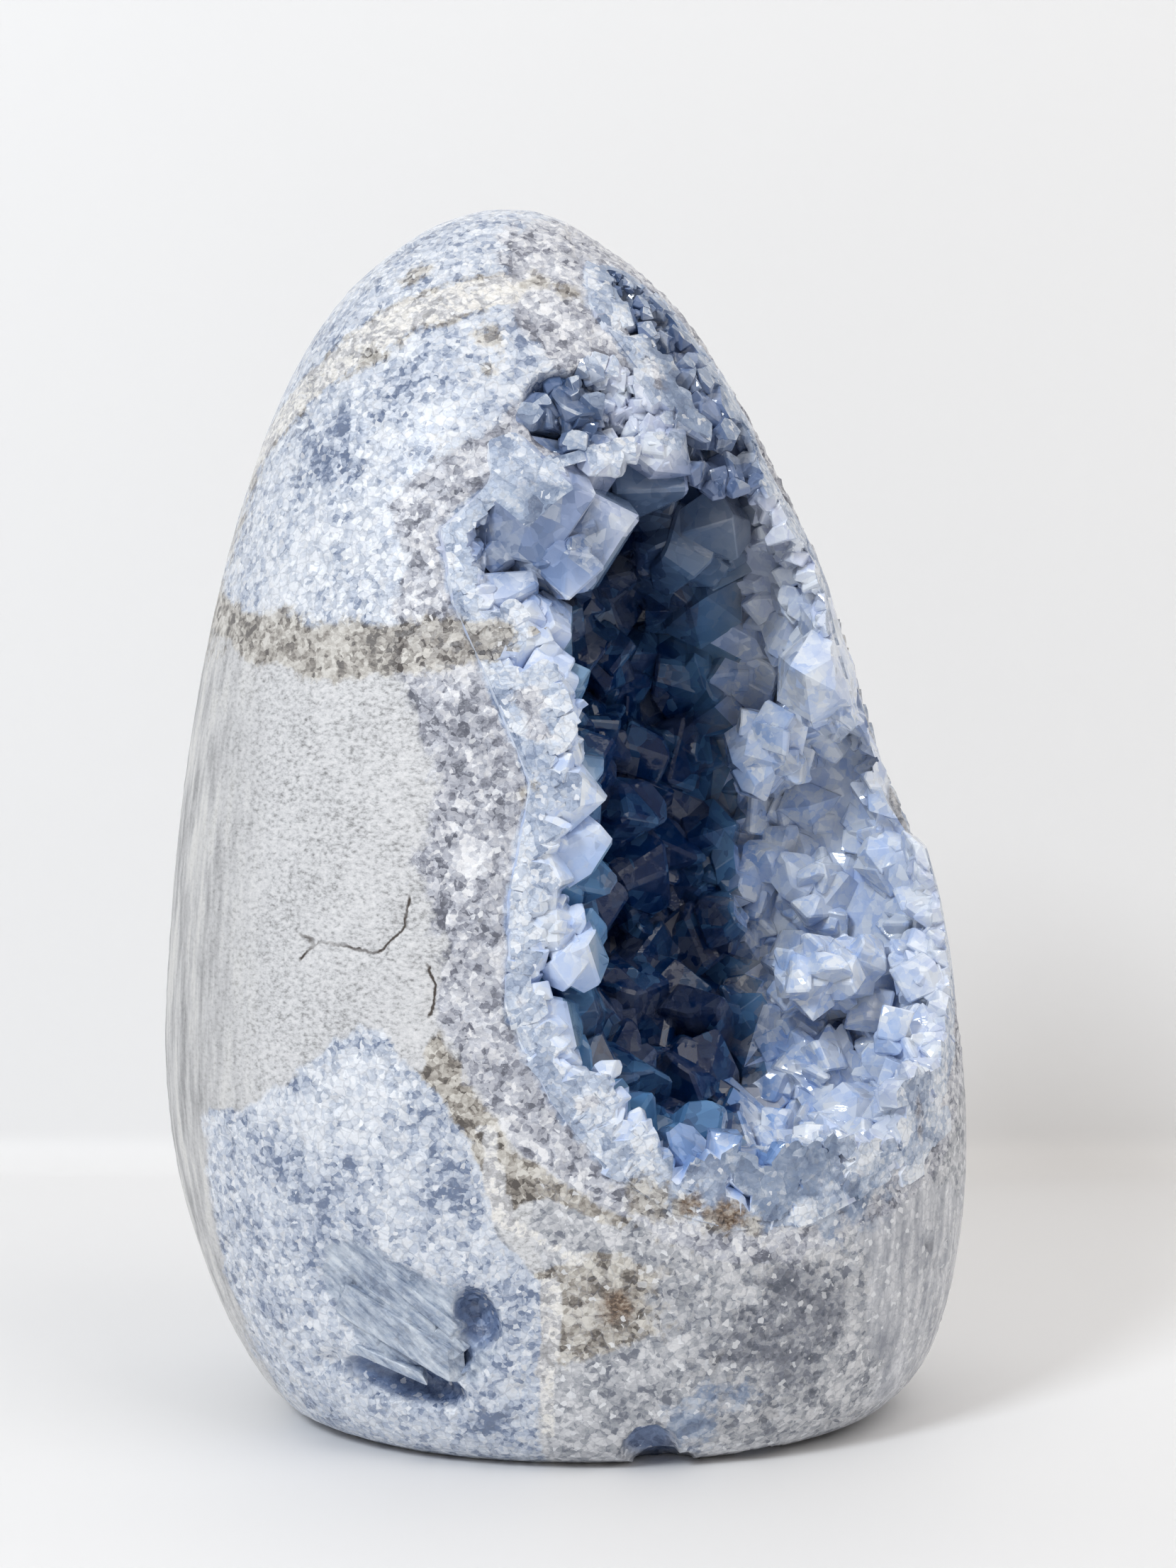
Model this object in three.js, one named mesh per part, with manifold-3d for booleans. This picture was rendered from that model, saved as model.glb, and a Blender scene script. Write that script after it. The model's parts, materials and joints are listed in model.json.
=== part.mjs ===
// A celestite freeform: an egg-shaped stone, polished all over and cut flat underneath to stand on,
// with a deep hollow open at its front right. The hollow is lined with a crust of blue crystals.
// Units are millimetres. +X is to the right, -Y is the front with the hollow, +Z is up.
// The origin is the middle of the flat base.

import * as THREE from "three";
import { ConvexGeometry } from "three/addons/geometries/ConvexGeometry.js";
import { LoftGeometry } from "three/addons/geometries/LoftGeometry.js";
import { mergeVertices } from "three/addons/utils/BufferGeometryUtils.js";
import Module from "manifold-3d";

const wasm = await Module();
wasm.setup();

const FIT_GAP = 0.3; // between the stone and the crust, so that the two solids stay apart
const BACKING = 2.2; // thickness of the crust that the crystals grow from
const STONE_RINGS = 25;
const STONE_SEGMENTS = 32;
const STONE_SQUARENESS = 2.1; // 2 is an ellipse, and more is nearer to a rectangle
const HOLLOW_RINGS = 15;
const HOLLOW_SEGMENTS = 18;
const HOLLOW_SQUARENESS = 2;

// The outside, at heights from the base to the top: the left and right, then the front and back.
const STONE_STATIONS = [
  { z: 0, left: -33.5, right: 39.5, front: -31.5, back: 32 },
  { z: 2.5, left: -38.5, right: 44.6, front: -35.6, back: 35.5 },
  { z: 8, left: -42.8, right: 49.2, front: -38.4, back: 37.6 },
  { z: 18, left: -47.6, right: 52.4, front: -40.6, back: 39.8 },
  { z: 32, left: -51.8, right: 54, front: -42, back: 41.4 },
  { z: 48, left: -53.5, right: 53.4, front: -42.6, back: 42 },
  { z: 66, left: -52.6, right: 50.8, front: -41.8, back: 41 },
  { z: 84, left: -50.7, right: 46.2, front: -40, back: 39 },
  { z: 102, left: -47.6, right: 39.4, front: -37, back: 36 },
  { z: 120, left: -43, right: 31, front: -32.6, back: 31.4 },
  { z: 136, left: -37, right: 22.7, front: -26.8, back: 25.6 },
  { z: 148, left: -29.5, right: 14.2, front: -19.6, back: 18.6 },
  { z: 156, left: -20.2, right: 4.2, front: -11.2, back: 10.6 },
  { z: 159.3, left: -13, right: -2.2, front: -5, back: 4.6 },
  { z: 160, left: -8.4, right: -6.8, front: -0.8, back: 0.8 },
];

// The hollow, from its floor to its top. Its front reaches out past the stone, so it is open there.
const HOLLOW_STATIONS = [
  { z: 31, left: 20, right: 31, front: -44, back: -24 },
  { z: 33.5, left: 12, right: 38, front: -54, back: -12 },
  { z: 39, left: 3, right: 46, front: -60, back: 0 },
  { z: 47.5, left: -5, right: 53, front: -62, back: 8 },
  { z: 58, left: -10.5, right: 56.5, front: -63, back: 13 },
  { z: 72, left: -10.5, right: 57, front: -63, back: 15.5 },
  { z: 86, left: -8, right: 57, front: -61, back: 16.5 },
  { z: 98, left: -13, right: 50.5, front: -57, back: 15 },
  { z: 108, left: -17, right: 41, front: -53, back: 11.5 },
  { z: 117, left: -18, right: 34.5, front: -49, back: 8.5 },
  { z: 124, left: -10, right: 30, front: -46, back: 5 },
  { z: 129, left: 8.5, right: 27.5, front: -43, back: 0 },
  { z: 137, left: 9.5, right: 24, front: -38, back: -3 },
  { z: 146, left: 3, right: 17.5, front: -32, back: -6 },
  { z: 151, left: 2.5, right: 12, front: -26, back: -9 },
  { z: 153, left: 5, right: 8, front: -19, back: -13 },
];

// Chips and small pits in the outside: the middle, the half sizes, and the tilt in the front plane.
const PITS = [
  { at: [-22, -37, 11.5], half: [11.5, 8, 2.8], tilt: 10 },
  { at: [-10.5, -41, 20], half: [3.2, 6, 4.8], tilt: -20 },
  { at: [-14.5, -40, 14], half: [5, 7, 2.6], tilt: -35 },
  { at: [13, -34, -0.4], half: [5.5, 7, 3.2], tilt: 0 },
  { at: [29, -29, -0.8], half: [9, 7, 2.6], tilt: 6 },
];

// Sections of a crystal, as shares of its width and thickness: with six sides, and with four.
const SIX_SIDES = [
  [-0.5, 0],
  [-0.26, -0.5],
  [0.26, -0.5],
  [0.5, 0],
  [0.26, 0.5],
  [-0.26, 0.5],
];
const FOUR_SIDES = [
  [-0.5, -0.1],
  [0.1, -0.5],
  [0.5, 0.1],
  [-0.1, 0.5],
];

// The crystals that catch the eye: where each stands, where it points, and its size.
const LARGE_CRYSTALS = [
  { name: "pale one at the right rim", at: [35, -8, 98], to: [-0.55, -0.8, 0.1], size: [11.5, 10.5, 10] },
  { name: "hanging point", at: [-11, -24, 121], to: [0.42, -0.3, -0.75], size: [11, 9.5, 14] },
  { name: "bright roof", at: [-5, -10, 114], to: [0.62, -0.62, -0.35], size: [10, 9, 13] },
  { name: "upper back", at: [19, 8, 108], to: [-0.15, -1, -0.1], size: [13, 10, 9] },
  { name: "middle back", at: [9, 12, 100], to: [0, -1, 0.15], size: [10.5, 9, 8.5] },
  { name: "right of middle", at: [28, 4, 89], to: [-0.45, -0.85, -0.1], size: [9.5, 8, 10] },
  { name: "bright corner", at: [20, 13, 76], to: [-0.2, -1, 0.1], size: [9.5, 8.5, 9] },
  { name: "pale one on the right", at: [36, -6, 59], to: [-0.7, -0.7, 0.1], size: [9, 7.5, 9.5] },
  { name: "lower back", at: [18, 10, 51], to: [-0.1, -0.9, 0.35], size: [10, 9, 9] },
  { name: "lower back left", at: [9, 9, 52], to: [0.1, -0.9, 0.3], size: [9, 8, 9] },
  { name: "dark one on the floor", at: [45, -12, 40], to: [-0.85, -0.45, 0.2], size: [8, 6.5, 14] },
  { name: "lip left", at: [31, -33, 31], to: [0.05, 0.05, 1], size: [8.5, 7, 9.5] },
  { name: "lip right", at: [38, -29, 33], to: [-0.1, 0, 1], size: [7.5, 6, 8.5] },
  { name: "clear one at the left", at: [1.5, -37, 42], to: [0.72, 0, 0.7], size: [8.5, 8, 9.5] },
  { name: "brown one on the floor", at: [13, -28, 33], to: [0.1, 0, 1], size: [6.5, 5.5, 9] },
  { name: "rim point", at: [-4, -36, 85], to: [0.95, -0.1, -0.15], size: [8, 7.5, 9.5] },
  { name: "upper rim point", at: [-10, -33, 104], to: [0.9, -0.1, -0.1], size: [8, 7, 9] },
  { name: "lower rim point", at: [-6, -37, 68], to: [0.95, -0.1, 0.05], size: [7, 7, 9] },
  { name: "shelf tip", at: [10, -21, 129], to: [0.75, 0, -0.6], size: [8.5, 7.5, 8] },
];

const CRYSTAL_COUNT = 106;
const CRYSTAL_SEED = 7;
const CRYSTAL_TRIES = 9000;
const LARGEST_CRYSTAL = 11.5; // across
const SMALLEST_CRYSTAL = 7.4;
const CRYSTAL_SPACING = 0.45; // of the sum of two neighbours' widths

// Numbers from 0 to 1 that are the same on every run.
function seededRandom(seed) {
  let state = seed;
  return () => {
    state = (state + 0x6d2b79f5) | 0;
    let mixed = Math.imul(state ^ (state >>> 15), 1 | state);
    mixed = (mixed + Math.imul(mixed ^ (mixed >>> 7), 61 | mixed)) ^ mixed;
    return ((mixed ^ (mixed >>> 14)) >>> 0) / 4294967296;
  };
}

// A closed geometry as a solid that can be cut and joined.
function toSolid(geometry) {
  const bare = new THREE.BufferGeometry()
    .setAttribute("position", geometry.getAttribute("position"))
    .setIndex(geometry.index);
  const merged = mergeVertices(bare, 1e-4);
  return new wasm.Manifold(
    new wasm.Mesh({
      numProp: 3,
      vertProperties: merged.attributes.position.array,
      triVerts: new Uint32Array(merged.index.array),
    }),
  );
}

// A solid as a geometry for a mesh, with any loose chips left out.
function toGeometry(solid) {
  const pieces = solid.decompose();
  const largest = pieces.reduce((a, b) => (a.volume() > b.volume() ? a : b));
  const mesh = largest.getMesh();
  return new THREE.BufferGeometry()
    .setAttribute("position", new THREE.BufferAttribute(mesh.vertProperties, 3))
    .setIndex(new THREE.BufferAttribute(mesh.triVerts, 1));
}

// A smooth surface through stations. Its point at a height share and an angle is pointAt(t, angle).
class StationSurface {
  constructor(stations, squareness, inset = 0) {
    const sides = stations.map((s) => new THREE.Vector3(s.left, s.right, s.z));
    const depths = stations.map((s) => new THREE.Vector3(s.front, s.back, s.z));
    this.sides = new THREE.CatmullRomCurve3(sides, false, "catmullrom");
    this.depths = new THREE.CatmullRomCurve3(depths, false, "catmullrom");
    this.squareness = squareness;
    this.inset = inset;
  }

  pointAt(t, angle) {
    const side = this.sides.getPoint(t);
    const depth = this.depths.getPoint(t);
    const bulge = (value) => Math.sign(value) * Math.abs(value) ** (2 / this.squareness);
    const halfWidth = Math.max((side.y - side.x) / 2 - this.inset, 0.2);
    const halfDepth = Math.max((depth.y - depth.x) / 2 - this.inset, 0.2);
    return new THREE.Vector3(
      (side.x + side.y) / 2 + halfWidth * bulge(Math.cos(angle)),
      (depth.x + depth.y) / 2 + halfDepth * bulge(Math.sin(angle)),
      side.z + this.inset * (1 - 2 * t),
    );
  }

  // The direction that faces the middle of the section, square to the surface.
  inwardAt(t, angle) {
    const step = 0.004;
    const along = this.pointAt(Math.min(t + step, 1), angle).sub(this.pointAt(Math.max(t - step, 0), angle));
    const around = this.pointAt(t, angle + step).sub(this.pointAt(t, angle - step));
    return along.cross(around).normalize();
  }

  geometry(rings, segments) {
    const sections = [];
    for (let i = 0; i <= rings; i++) {
      const section = [];
      for (let j = 0; j < segments; j++) {
        section.push(this.pointAt(i / rings, (j / segments) * 2 * Math.PI));
      }
      sections.push(section);
    }
    return new LoftGeometry(sections, { capStart: true, capEnd: true });
  }
}

// A blunt prism, longer across than thick, under a roof with a short ridge.
function crystalGeometry({ section, width, thickness, length, root, ridge, roof, lean }) {
  const points = [];
  for (const [x, y] of section) {
    points.push(new THREE.Vector3(x * width, y * thickness, -root));
    points.push(new THREE.Vector3(x * width, y * thickness, length - roof));
  }
  for (const side of [-1, 1]) {
    points.push(new THREE.Vector3((side * ridge * width) / 2 + lean * width, lean * thickness, length));
  }
  return new ConvexGeometry(points);
}

// A crystal standing at a point and pointing along a direction, turned about that direction.
function placedCrystal(shape, at, direction, turn) {
  const upright = new THREE.Quaternion().setFromUnitVectors(new THREE.Vector3(0, 0, 1), direction);
  const spin = new THREE.Quaternion().setFromAxisAngle(new THREE.Vector3(0, 0, 1), turn);
  const matrix = new THREE.Matrix4().compose(at, upright.multiply(spin), new THREE.Vector3(1, 1, 1));
  return toSolid(crystalGeometry(shape).applyMatrix4(matrix));
}

function largeCrystal({ at, to, size }) {
  const [width, thickness, length] = size;
  const tip = { ridge: 0.22, roof: 0.45 * width, lean: 0.06 };
  const shape = { section: SIX_SIDES, width, thickness, length, root: 4, ...tip };
  return placedCrystal(shape, new THREE.Vector3(...at), new THREE.Vector3(...to).normalize(), width);
}

// Crystals all over the hollow's wall, the largest first, each clear of those before it.
function scatteredCrystals(hollow, stone) {
  const random = seededRandom(CRYSTAL_SEED);
  const hollowLow = HOLLOW_STATIONS[0].z;
  const hollowHigh = HOLLOW_STATIONS[HOLLOW_STATIONS.length - 1].z;
  const between = (low, high) => low + (high - low) * random();
  const taken = LARGE_CRYSTALS.map(({ at, size }) => ({ at: new THREE.Vector3(...at), width: size[0] }));
  const crystals = LARGE_CRYSTALS.map(largeCrystal);
  for (let i = 0; i < CRYSTAL_TRIES && crystals.length < CRYSTAL_COUNT; i++) {
    const share = crystals.length / CRYSTAL_COUNT;
    const width = THREE.MathUtils.lerp(LARGEST_CRYSTAL, SMALLEST_CRYSTAL, share ** 0.6);
    const t = shareAtHeight(HOLLOW_STATIONS, between(hollowLow + 1, hollowHigh - 1));
    const angle = between(0, 2 * Math.PI);
    const at = hollow.pointAt(t, angle);
    const inward = hollow.inwardAt(t, angle);
    const crowded = taken.some((o) => o.at.distanceTo(at) < CRYSTAL_SPACING * (o.width + width));
    if (crowded || !isInside(stone, at, 1.5)) continue;
    const tilt = new THREE.Vector3(between(-1, 1), between(-1, 1), between(-1, 1)).multiplyScalar(0.38);
    const direction = inward.clone().add(tilt).normalize();
    const shape = {
      section: FOUR_SIDES,
      width: width * between(1.3, 1.6),
      thickness: width * between(1.05, 1.35),
      length: BACKING + width * between(0.55, 0.95),
      root: 0.5,
      ridge: between(0.05, 0.5),
      roof: width * between(0.28, 0.5),
      lean: between(-0.12, 0.12),
    };
    shape.roof = Math.min(shape.roof, shape.length - 0.5);
    taken.push({ at, width });
    crystals.push(placedCrystal(shape, at, direction, between(0, Math.PI)));
  }
  return crystals;
}

// A faceted pit to cut out of the stone.
function pitSolid({ at, half, tilt }) {
  const geometry = new THREE.IcosahedronGeometry(1, 1);
  geometry.scale(...half).rotateY(THREE.MathUtils.degToRad(tilt)).translate(...at);
  return toSolid(geometry);
}

// The share of the way along the stations that a height has reached.
function shareAtHeight(stations, height) {
  const above = Math.max(
    stations.findIndex((s) => s.z >= height),
    1,
  );
  const low = stations[above - 1].z;
  const high = stations[above].z;
  return (above - 1 + (height - low) / (high - low)) / (stations.length - 1);
}

// Whether a point is inside the stone, or within a margin outside it.
function isInside(stone, point, margin) {
  const t = shareAtHeight(STONE_STATIONS, point.z);
  const side = stone.sides.getPoint(t);
  const depth = stone.depths.getPoint(t);
  const across = (point.x - (side.x + side.y) / 2) / ((side.y - side.x) / 2 + margin);
  const deep = (point.y - (depth.x + depth.y) / 2) / ((depth.y - depth.x) / 2 + margin);
  return Math.abs(across) ** stone.squareness + Math.abs(deep) ** stone.squareness < 1;
}

const stoneSurface = new StationSurface(STONE_STATIONS, STONE_SQUARENESS);
const hollowSurface = new StationSurface(HOLLOW_STATIONS, HOLLOW_SQUARENESS);
const crustOuter = new StationSurface(HOLLOW_STATIONS, HOLLOW_SQUARENESS, FIT_GAP);
const crustInner = new StationSurface(HOLLOW_STATIONS, HOLLOW_SQUARENESS, FIT_GAP + BACKING);

const wholeStone = toSolid(stoneSurface.geometry(STONE_RINGS, STONE_SEGMENTS));
const hollow = toSolid(hollowSurface.geometry(HOLLOW_RINGS, HOLLOW_SEGMENTS));
const crustRoom = toSolid(crustOuter.geometry(HOLLOW_RINGS, HOLLOW_SEGMENTS));
const crustSpace = toSolid(crustInner.geometry(HOLLOW_RINGS, HOLLOW_SEGMENTS));

const stone = new THREE.Mesh(
  toGeometry(wholeStone.subtract(wasm.Manifold.union([hollow, ...PITS.map(pitSolid)]))),
  new THREE.MeshStandardMaterial({ color: 0xc9ccd6, roughness: 0.45, metalness: 0 }),
);
stone.name = "polished_stone";

const backing = crustRoom.subtract(crustSpace);
const crystals = scatteredCrystals(hollowSurface, stoneSurface);
const crust = new THREE.Mesh(
  toGeometry(wasm.Manifold.union([backing, ...crystals]).intersect(crustRoom).intersect(wholeStone)),
  new THREE.MeshStandardMaterial({ color: 0x7f9cc6, roughness: 0.15, metalness: 0 }),
);
crust.name = "crystal_crust";

const freeform = new THREE.Group();
freeform.add(stone, crust);

export default freeform;
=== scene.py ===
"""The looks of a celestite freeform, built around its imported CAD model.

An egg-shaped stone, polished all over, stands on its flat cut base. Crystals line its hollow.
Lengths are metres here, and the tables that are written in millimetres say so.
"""

import json
import math

import bpy
import numpy as np
from bpy.props import FloatProperty, FloatVectorProperty, IntProperty, PointerProperty
from mathutils import Matrix, Quaternion, Vector
from mathutils.bvhtree import BVHTree
from mathutils.kdtree import KDTree

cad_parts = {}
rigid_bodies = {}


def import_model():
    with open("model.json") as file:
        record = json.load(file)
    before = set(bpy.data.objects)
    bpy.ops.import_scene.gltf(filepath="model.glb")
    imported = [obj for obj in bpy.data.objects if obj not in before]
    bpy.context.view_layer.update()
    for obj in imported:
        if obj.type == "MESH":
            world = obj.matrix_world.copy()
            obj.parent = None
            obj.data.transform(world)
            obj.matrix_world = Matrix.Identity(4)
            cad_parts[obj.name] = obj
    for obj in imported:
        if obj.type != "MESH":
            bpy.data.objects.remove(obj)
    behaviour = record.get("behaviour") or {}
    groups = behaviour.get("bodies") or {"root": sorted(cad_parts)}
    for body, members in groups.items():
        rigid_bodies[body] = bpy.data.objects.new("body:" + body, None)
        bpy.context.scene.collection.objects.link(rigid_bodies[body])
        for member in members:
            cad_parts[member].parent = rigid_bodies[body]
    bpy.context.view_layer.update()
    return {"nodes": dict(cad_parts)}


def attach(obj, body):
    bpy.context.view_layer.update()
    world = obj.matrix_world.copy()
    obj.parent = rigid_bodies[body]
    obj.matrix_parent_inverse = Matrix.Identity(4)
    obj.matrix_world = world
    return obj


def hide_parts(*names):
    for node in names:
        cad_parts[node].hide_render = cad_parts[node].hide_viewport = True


bl_info = {
    "name": "Celestite Freeform",
    "version": (1, 0, 0),
    "blender": (4, 5, 0),
    "location": "3D View > Sidebar > Freeform",
    "description": "Builds a polished celestite freeform with a crystal hollow",
    "category": "Add Mesh",
}

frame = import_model()

MM = 0.001

# The polished outline in millimetres: height, then its reach to the left, right, front and back.
OUTLINE = (
    (0, -33.5, 39.5, -31.5, 32),
    (2.5, -38.5, 44.6, -35.6, 35.5),
    (8, -42.8, 49.2, -38.4, 37.6),
    (18, -47.6, 52.4, -40.6, 39.8),
    (32, -51.8, 54, -42, 41.4),
    (48, -53.5, 53.4, -42.6, 42),
    (66, -52.6, 50.8, -41.8, 41),
    (84, -50.7, 46.2, -40, 39),
    (102, -47.6, 39.4, -37, 36),
    (120, -43, 31, -32.6, 31.4),
    (136, -37, 22.7, -26.8, 25.6),
    (148, -29.5, 14.2, -19.6, 18.6),
    (156, -20.2, 4.2, -11.2, 10.6),
    (159.3, -13, -2.2, -5, 4.6),
    (160, -8.4, -6.8, -0.8, 0.8),
)
SQUARENESS = 2.1  # of a level section: 2 is an ellipse

# Where the cracks in the matrix run, in millimetres.
CRACKS = (
    ((-32.5, -34.5, 67), (-30.5, -35.8, 66.2), (-27.5, -37.2, 66.1), (-22.6, -39, 65.2), (-19.4, -39.7, 68.6),
     (-18.7, -39.6, 71.9)),
    ((-31, -35.6, 66), (-32.4, -34.6, 64.2)),
    ((-16.3, -40.6, 63.7), (-15.4, -41, 61), (-16.1, -41, 58.2)),
)
# Cream veins between the blue patch and the speckled stone: the route and the half width, in millimetres.
CREAM_VEINS = (
    (((-9, -42.1, 44), (-8, -42, 37.5), (-6.8, -41.8, 32.7), (-2.5, -41.9, 30.8), (2, -41.8, 28.2)), 1.0),
    (((-1.6, -41.2, 25), (-1.6, -40.5, 18.9), (-1.9, -39.2, 12.7), (-1.6, -37.1, 5.7)), 0.7),
)
# The coarse speckled stone below the hollow: the route and the half width, in millimetres.
SPECKLED_BELTS = (
    (((-12, -41.8, 52), (-7.2, -42.3, 43), (1, -42.3, 37), (11, -41.5, 34), (24, -39, 30.5)), 5.5),
    (((2.7, -41.3, 23), (12, -40.8, 23)), 6.5),
)
# The darkest grey crystal at the lower right: middles and radii, in millimetres.
DARK_PATCHES = (
    ((28.3, -36.6, 23.8), 4.5),
    ((31.4, -34.6, 19), 5),
    ((24, -37.5, 17.5), 4.5),
    ((29, -35, 13), 4.5),
)
# Deeper blue in the massive crystal: middle, radius in millimetres and perhaps strength.
BLUE_SHADES = (
    ((-30, -24, 126), 3),
    ((-27.5, -27, 124.5), 2.4),
    ((-28, -24, 130.5), 2.6),
    ((-20, -32, 118), 2),
    ((-14, -41, 37.5), 4, 0.5),
    ((-24, -38.5, 38), 3.4, 0.4),
    ((-35, -33.7, 37), 3, 0.35),
    ((-12, -40, 22), 4, 0.8),
    ((-38, -27, 17), 3, 0.6),
    ((-9, -37, 6), 3.5, 0.8),
    ((17, -36.1, 6), 3.5),
    ((23, -36.5, 12), 2.5),
)
# Massive blue crystal below the lip and at the base: middles and radii, in millimetres.
BLUE_ZONES = (
    ((27, -38, 38), 4.5),
    ((33, -35, 35), 6),
    ((39, -31, 33), 5.5),
    ((17, -36.1, 6), 5),
    ((23, -35, 6), 4),
    ((23, -36.8, 13), 3),
)
# Clear blue crystal cut by the polish, in the lip and at the base: middle, radius in millimetres, strength.
CLEAR_ZONES = (
    ((23, -39.4, 40), 4.4, 1.0),
    ((26, -38, 35.5), 4.4, 1.0),
    ((19.2, -40.4, 42.5), 2.8, 0.9),
    ((28.5, -37.2, 37.5), 3.6, 1.0),
    ((36.7, -33, 33.5), 6, 0.7),
    ((40, -30.5, 36.5), 4.4, 0.7),
    ((33.7, -34.6, 31), 4, 0.7),
    ((16, -36.3, 6), 3.4, 0.9),
    ((17.5, -37, 10.5), 2.6, 0.6),
    ((22, -35.6, 9.5), 2.6, 0.6),
)
# Where the massive crystal is whitest: middles and radii, in millimetres.
PALE_ZONES = (
    ((-21, -31, 119), 10),
    ((43.5, -20, 79), 9),
    ((39, -17, 98), 8),
    ((31, -14, 115), 7),
    ((-33, -24, 113), 7),
    ((-26, -39, 46), 6),
)
# Rust stains: the middle and the radius, in millimetres.
RUST_STAINS = (
    ((20.5, -40, 33.3), 2.8),
    ((15.5, -41, 34.6), 1.8),
    ((7, -41, 22.5), 3),
)
# Specks of brown grit: middle, radius in millimetres and strength.
BROWN_SPECKS = (
    ((-9.2, -25.2, 141.5), 2.6, 0.9),
    ((-9, -26.8, 137), 2.4, 0.8),
    ((-3.4, -18.2, 149.4), 3.2, 0.9),
    ((0.5, -18.5, 147.5), 2.6, 0.7),
    ((-19.1, -15.5, 150.1), 2.4, 0.8),
    ((-41.5, -9.7, 124.2), 4, 0.7),
    ((-15.6, -29.4, 127.9), 3.6, 0.45),
    ((-10.8, -29.4, 129.4), 2.4, 0.4),
    ((-24, -20.5, 138.6), 2.5, 0.7),
    ((-4.4, -39.9, 84.9), 2, 0.8),
    ((-2.6, -36.5, 104.4), 3, 0.7),
    ((14.5, -41, 34.5), 2.4, 0.9),
    ((10.5, -41.4, 35.5), 4.2, 0.9),
    ((18.8, -40.2, 32.4), 2.6, 0.9),
    ((23.5, -39, 31.6), 2.2, 0.8),
)
# Places where the skin is broken open: middle, half sizes, then the number of crystals that line each, the
# smallest and the largest, in millimetres, and how white they are.
RECESSES = (
    ((7.4, -13.2, 149.6), (2.2, 2.2, 2.2), 9, 0.9, 1.5, 0.14),
    ((9.6, -13.8, 147.5), (3, 3, 3), 14, 1.2, 2, 0.13),
    ((12.6, -14.2, 144.2), (3.8, 3.8, 3.8), 20, 1.6, 2.6, 0.13),
    ((15.8, -15.2, 139.8), (4.8, 4.8, 4.8), 26, 1.8, 3.2, 0.2),
    ((18.6, -17, 134.3), (6, 6, 6), 30, 2, 3.8, 0.18),
    ((21, -18, 129), (7, 7, 7), 26, 2.4, 4.4, 0.18),
    ((7.8, -25, 133), (7, 3.8, 7.2), 90, 1.6, 3, 0.85),
    ((0.2, -28, 132), (4.8, 5, 5.2), 16, 2.4, 4.4, 0.12),
    ((-2.5, -31.5, 115.8), (7, 6, 5.8), 10, 4, 6.5, 0.2),
    ((14.9, -41.3, 42.7), (2, 3.4, 2.8), 0, 1, 1.6, 0.2),
    ((11, -37.2, 1.8), (4, 4.6, 4.4), 0, 1, 2, 0.6),
    ((27, -34, 3), (1.6, 2.6, 1.8), 0, 1, 2, 0.6),
)
# How far the right edge of the outline is broken away at each height, both in millimetres.
BROKEN_EDGE = ((70, 0), (75.5, 0.3), (77.5, 2.6), (84, 3.6), (92, 3.2), (100, 2.2), (108, 1), (114, 0))
# The pocket at the lower left: the middle of its fan of blades in millimetres, the way they run, and how far
# that way turns about the Y axis.
FAN_MIDDLE = (-20.5, -38, 19.5)
FAN_WAY = (0.8, -0.1, -0.58)
FAN_TURN = math.atan2(FAN_WAY[2], FAN_WAY[0])
# The blades in it: each one's middle on the skin, its length and width in millimetres, how many degrees it
# turns from the fan's way, and how many millimetres deep its top lies.
BLADES = (
    ((-20.6, -37.1, 17.3), 19, 5, 8, 0.05),
    ((-22.4, -35.4, 13.6), 12, 1.7, 20, 0),
    ((-17.3, -38.7, 21.4), 13, 2.2, -2, 0.4),
    ((-19.5, -38, 20.4), 12, 2, 3, 0.8),
    ((-25.5, -35.6, 19), 9, 3.4, -6, 0.4),
    ((-27.6, -33.8, 15.6), 8, 2.6, 22, 0.7),
    ((-14.2, -38.8, 16.6), 5, 3.2, -10, 0.7),
)
# The holes round the blades: middle, radius and depth in millimetres.
POCKET_HOLES = (
    ((-26.5, -32.6, 11), 1.7, 2.8),
    ((-22.8, -34.2, 10.2), 1.6, 2.8),
    ((-18.8, -35.7, 10.2), 1.5, 2.6),
    ((-30, -30.8, 12), 1.2, 1.8),
    ((-13.2, -38, 12.8), 1.4, 2.2),
    ((-10.4, -40.2, 21.6), 1.3, 3),
    ((-11.8, -40, 20.4), 1, 2),
    ((-10, -39.8, 18.2), 0.9, 2.4),
)

# The planes that cut a cube into each form of crystal: a point and the way that is cut off.
CRYSTAL_FORMS = (
    (((0.3, 0, 0.5), (1, 0.1, 0.8)), ((-0.22, 0, 0.6), (-1, -0.15, 0.7)), ((0.35, 0.35, 0), (1, 0.8, 0.1))),
    (((0.3, 0, 0.5), (1, 0.3, 1.1)), ((-0.3, 0, 0.52), (-1, 0.2, 1)), ((0, 0.32, 0.5), (0.2, 1, 0.9)),
     ((0, -0.35, 0.5), (-0.1, -1, 1.2)), ((-0.36, -0.3, 0), (-1, -1.2, 0))),
    (((0, 0, 0.66), (0.16, 0.1, 1)), ((0.42, 0, 0.5), (1, 0, 0.9)), ((-0.4, 0.3, 0), (-0.8, 1, 0.1)),
     ((0, -0.4, 0.5), (0, -1, 0.7))),
    (((0.4, 0, 0), (1, 0.55, 0)), ((-0.4, 0, 0), (-1, -0.5, 0)), ((0.38, 0, 0), (1, -0.6, 0)),
     ((-0.4, 0, 0), (-1, 0.6, 0)), ((0.1, 0.2, 0.66), (0.35, 1, 0.9)), ((0, -0.2, 0.62), (-0.3, -1, 1.1))),
    (((0.25, 0.25, 0.5), (1, 1, 1)), ((-0.32, 0.2, 0.5), (-1, 0.5, 0.8)), ((0, -0.3, 0.5), (0.2, -1, 0.75))),
)
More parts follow.
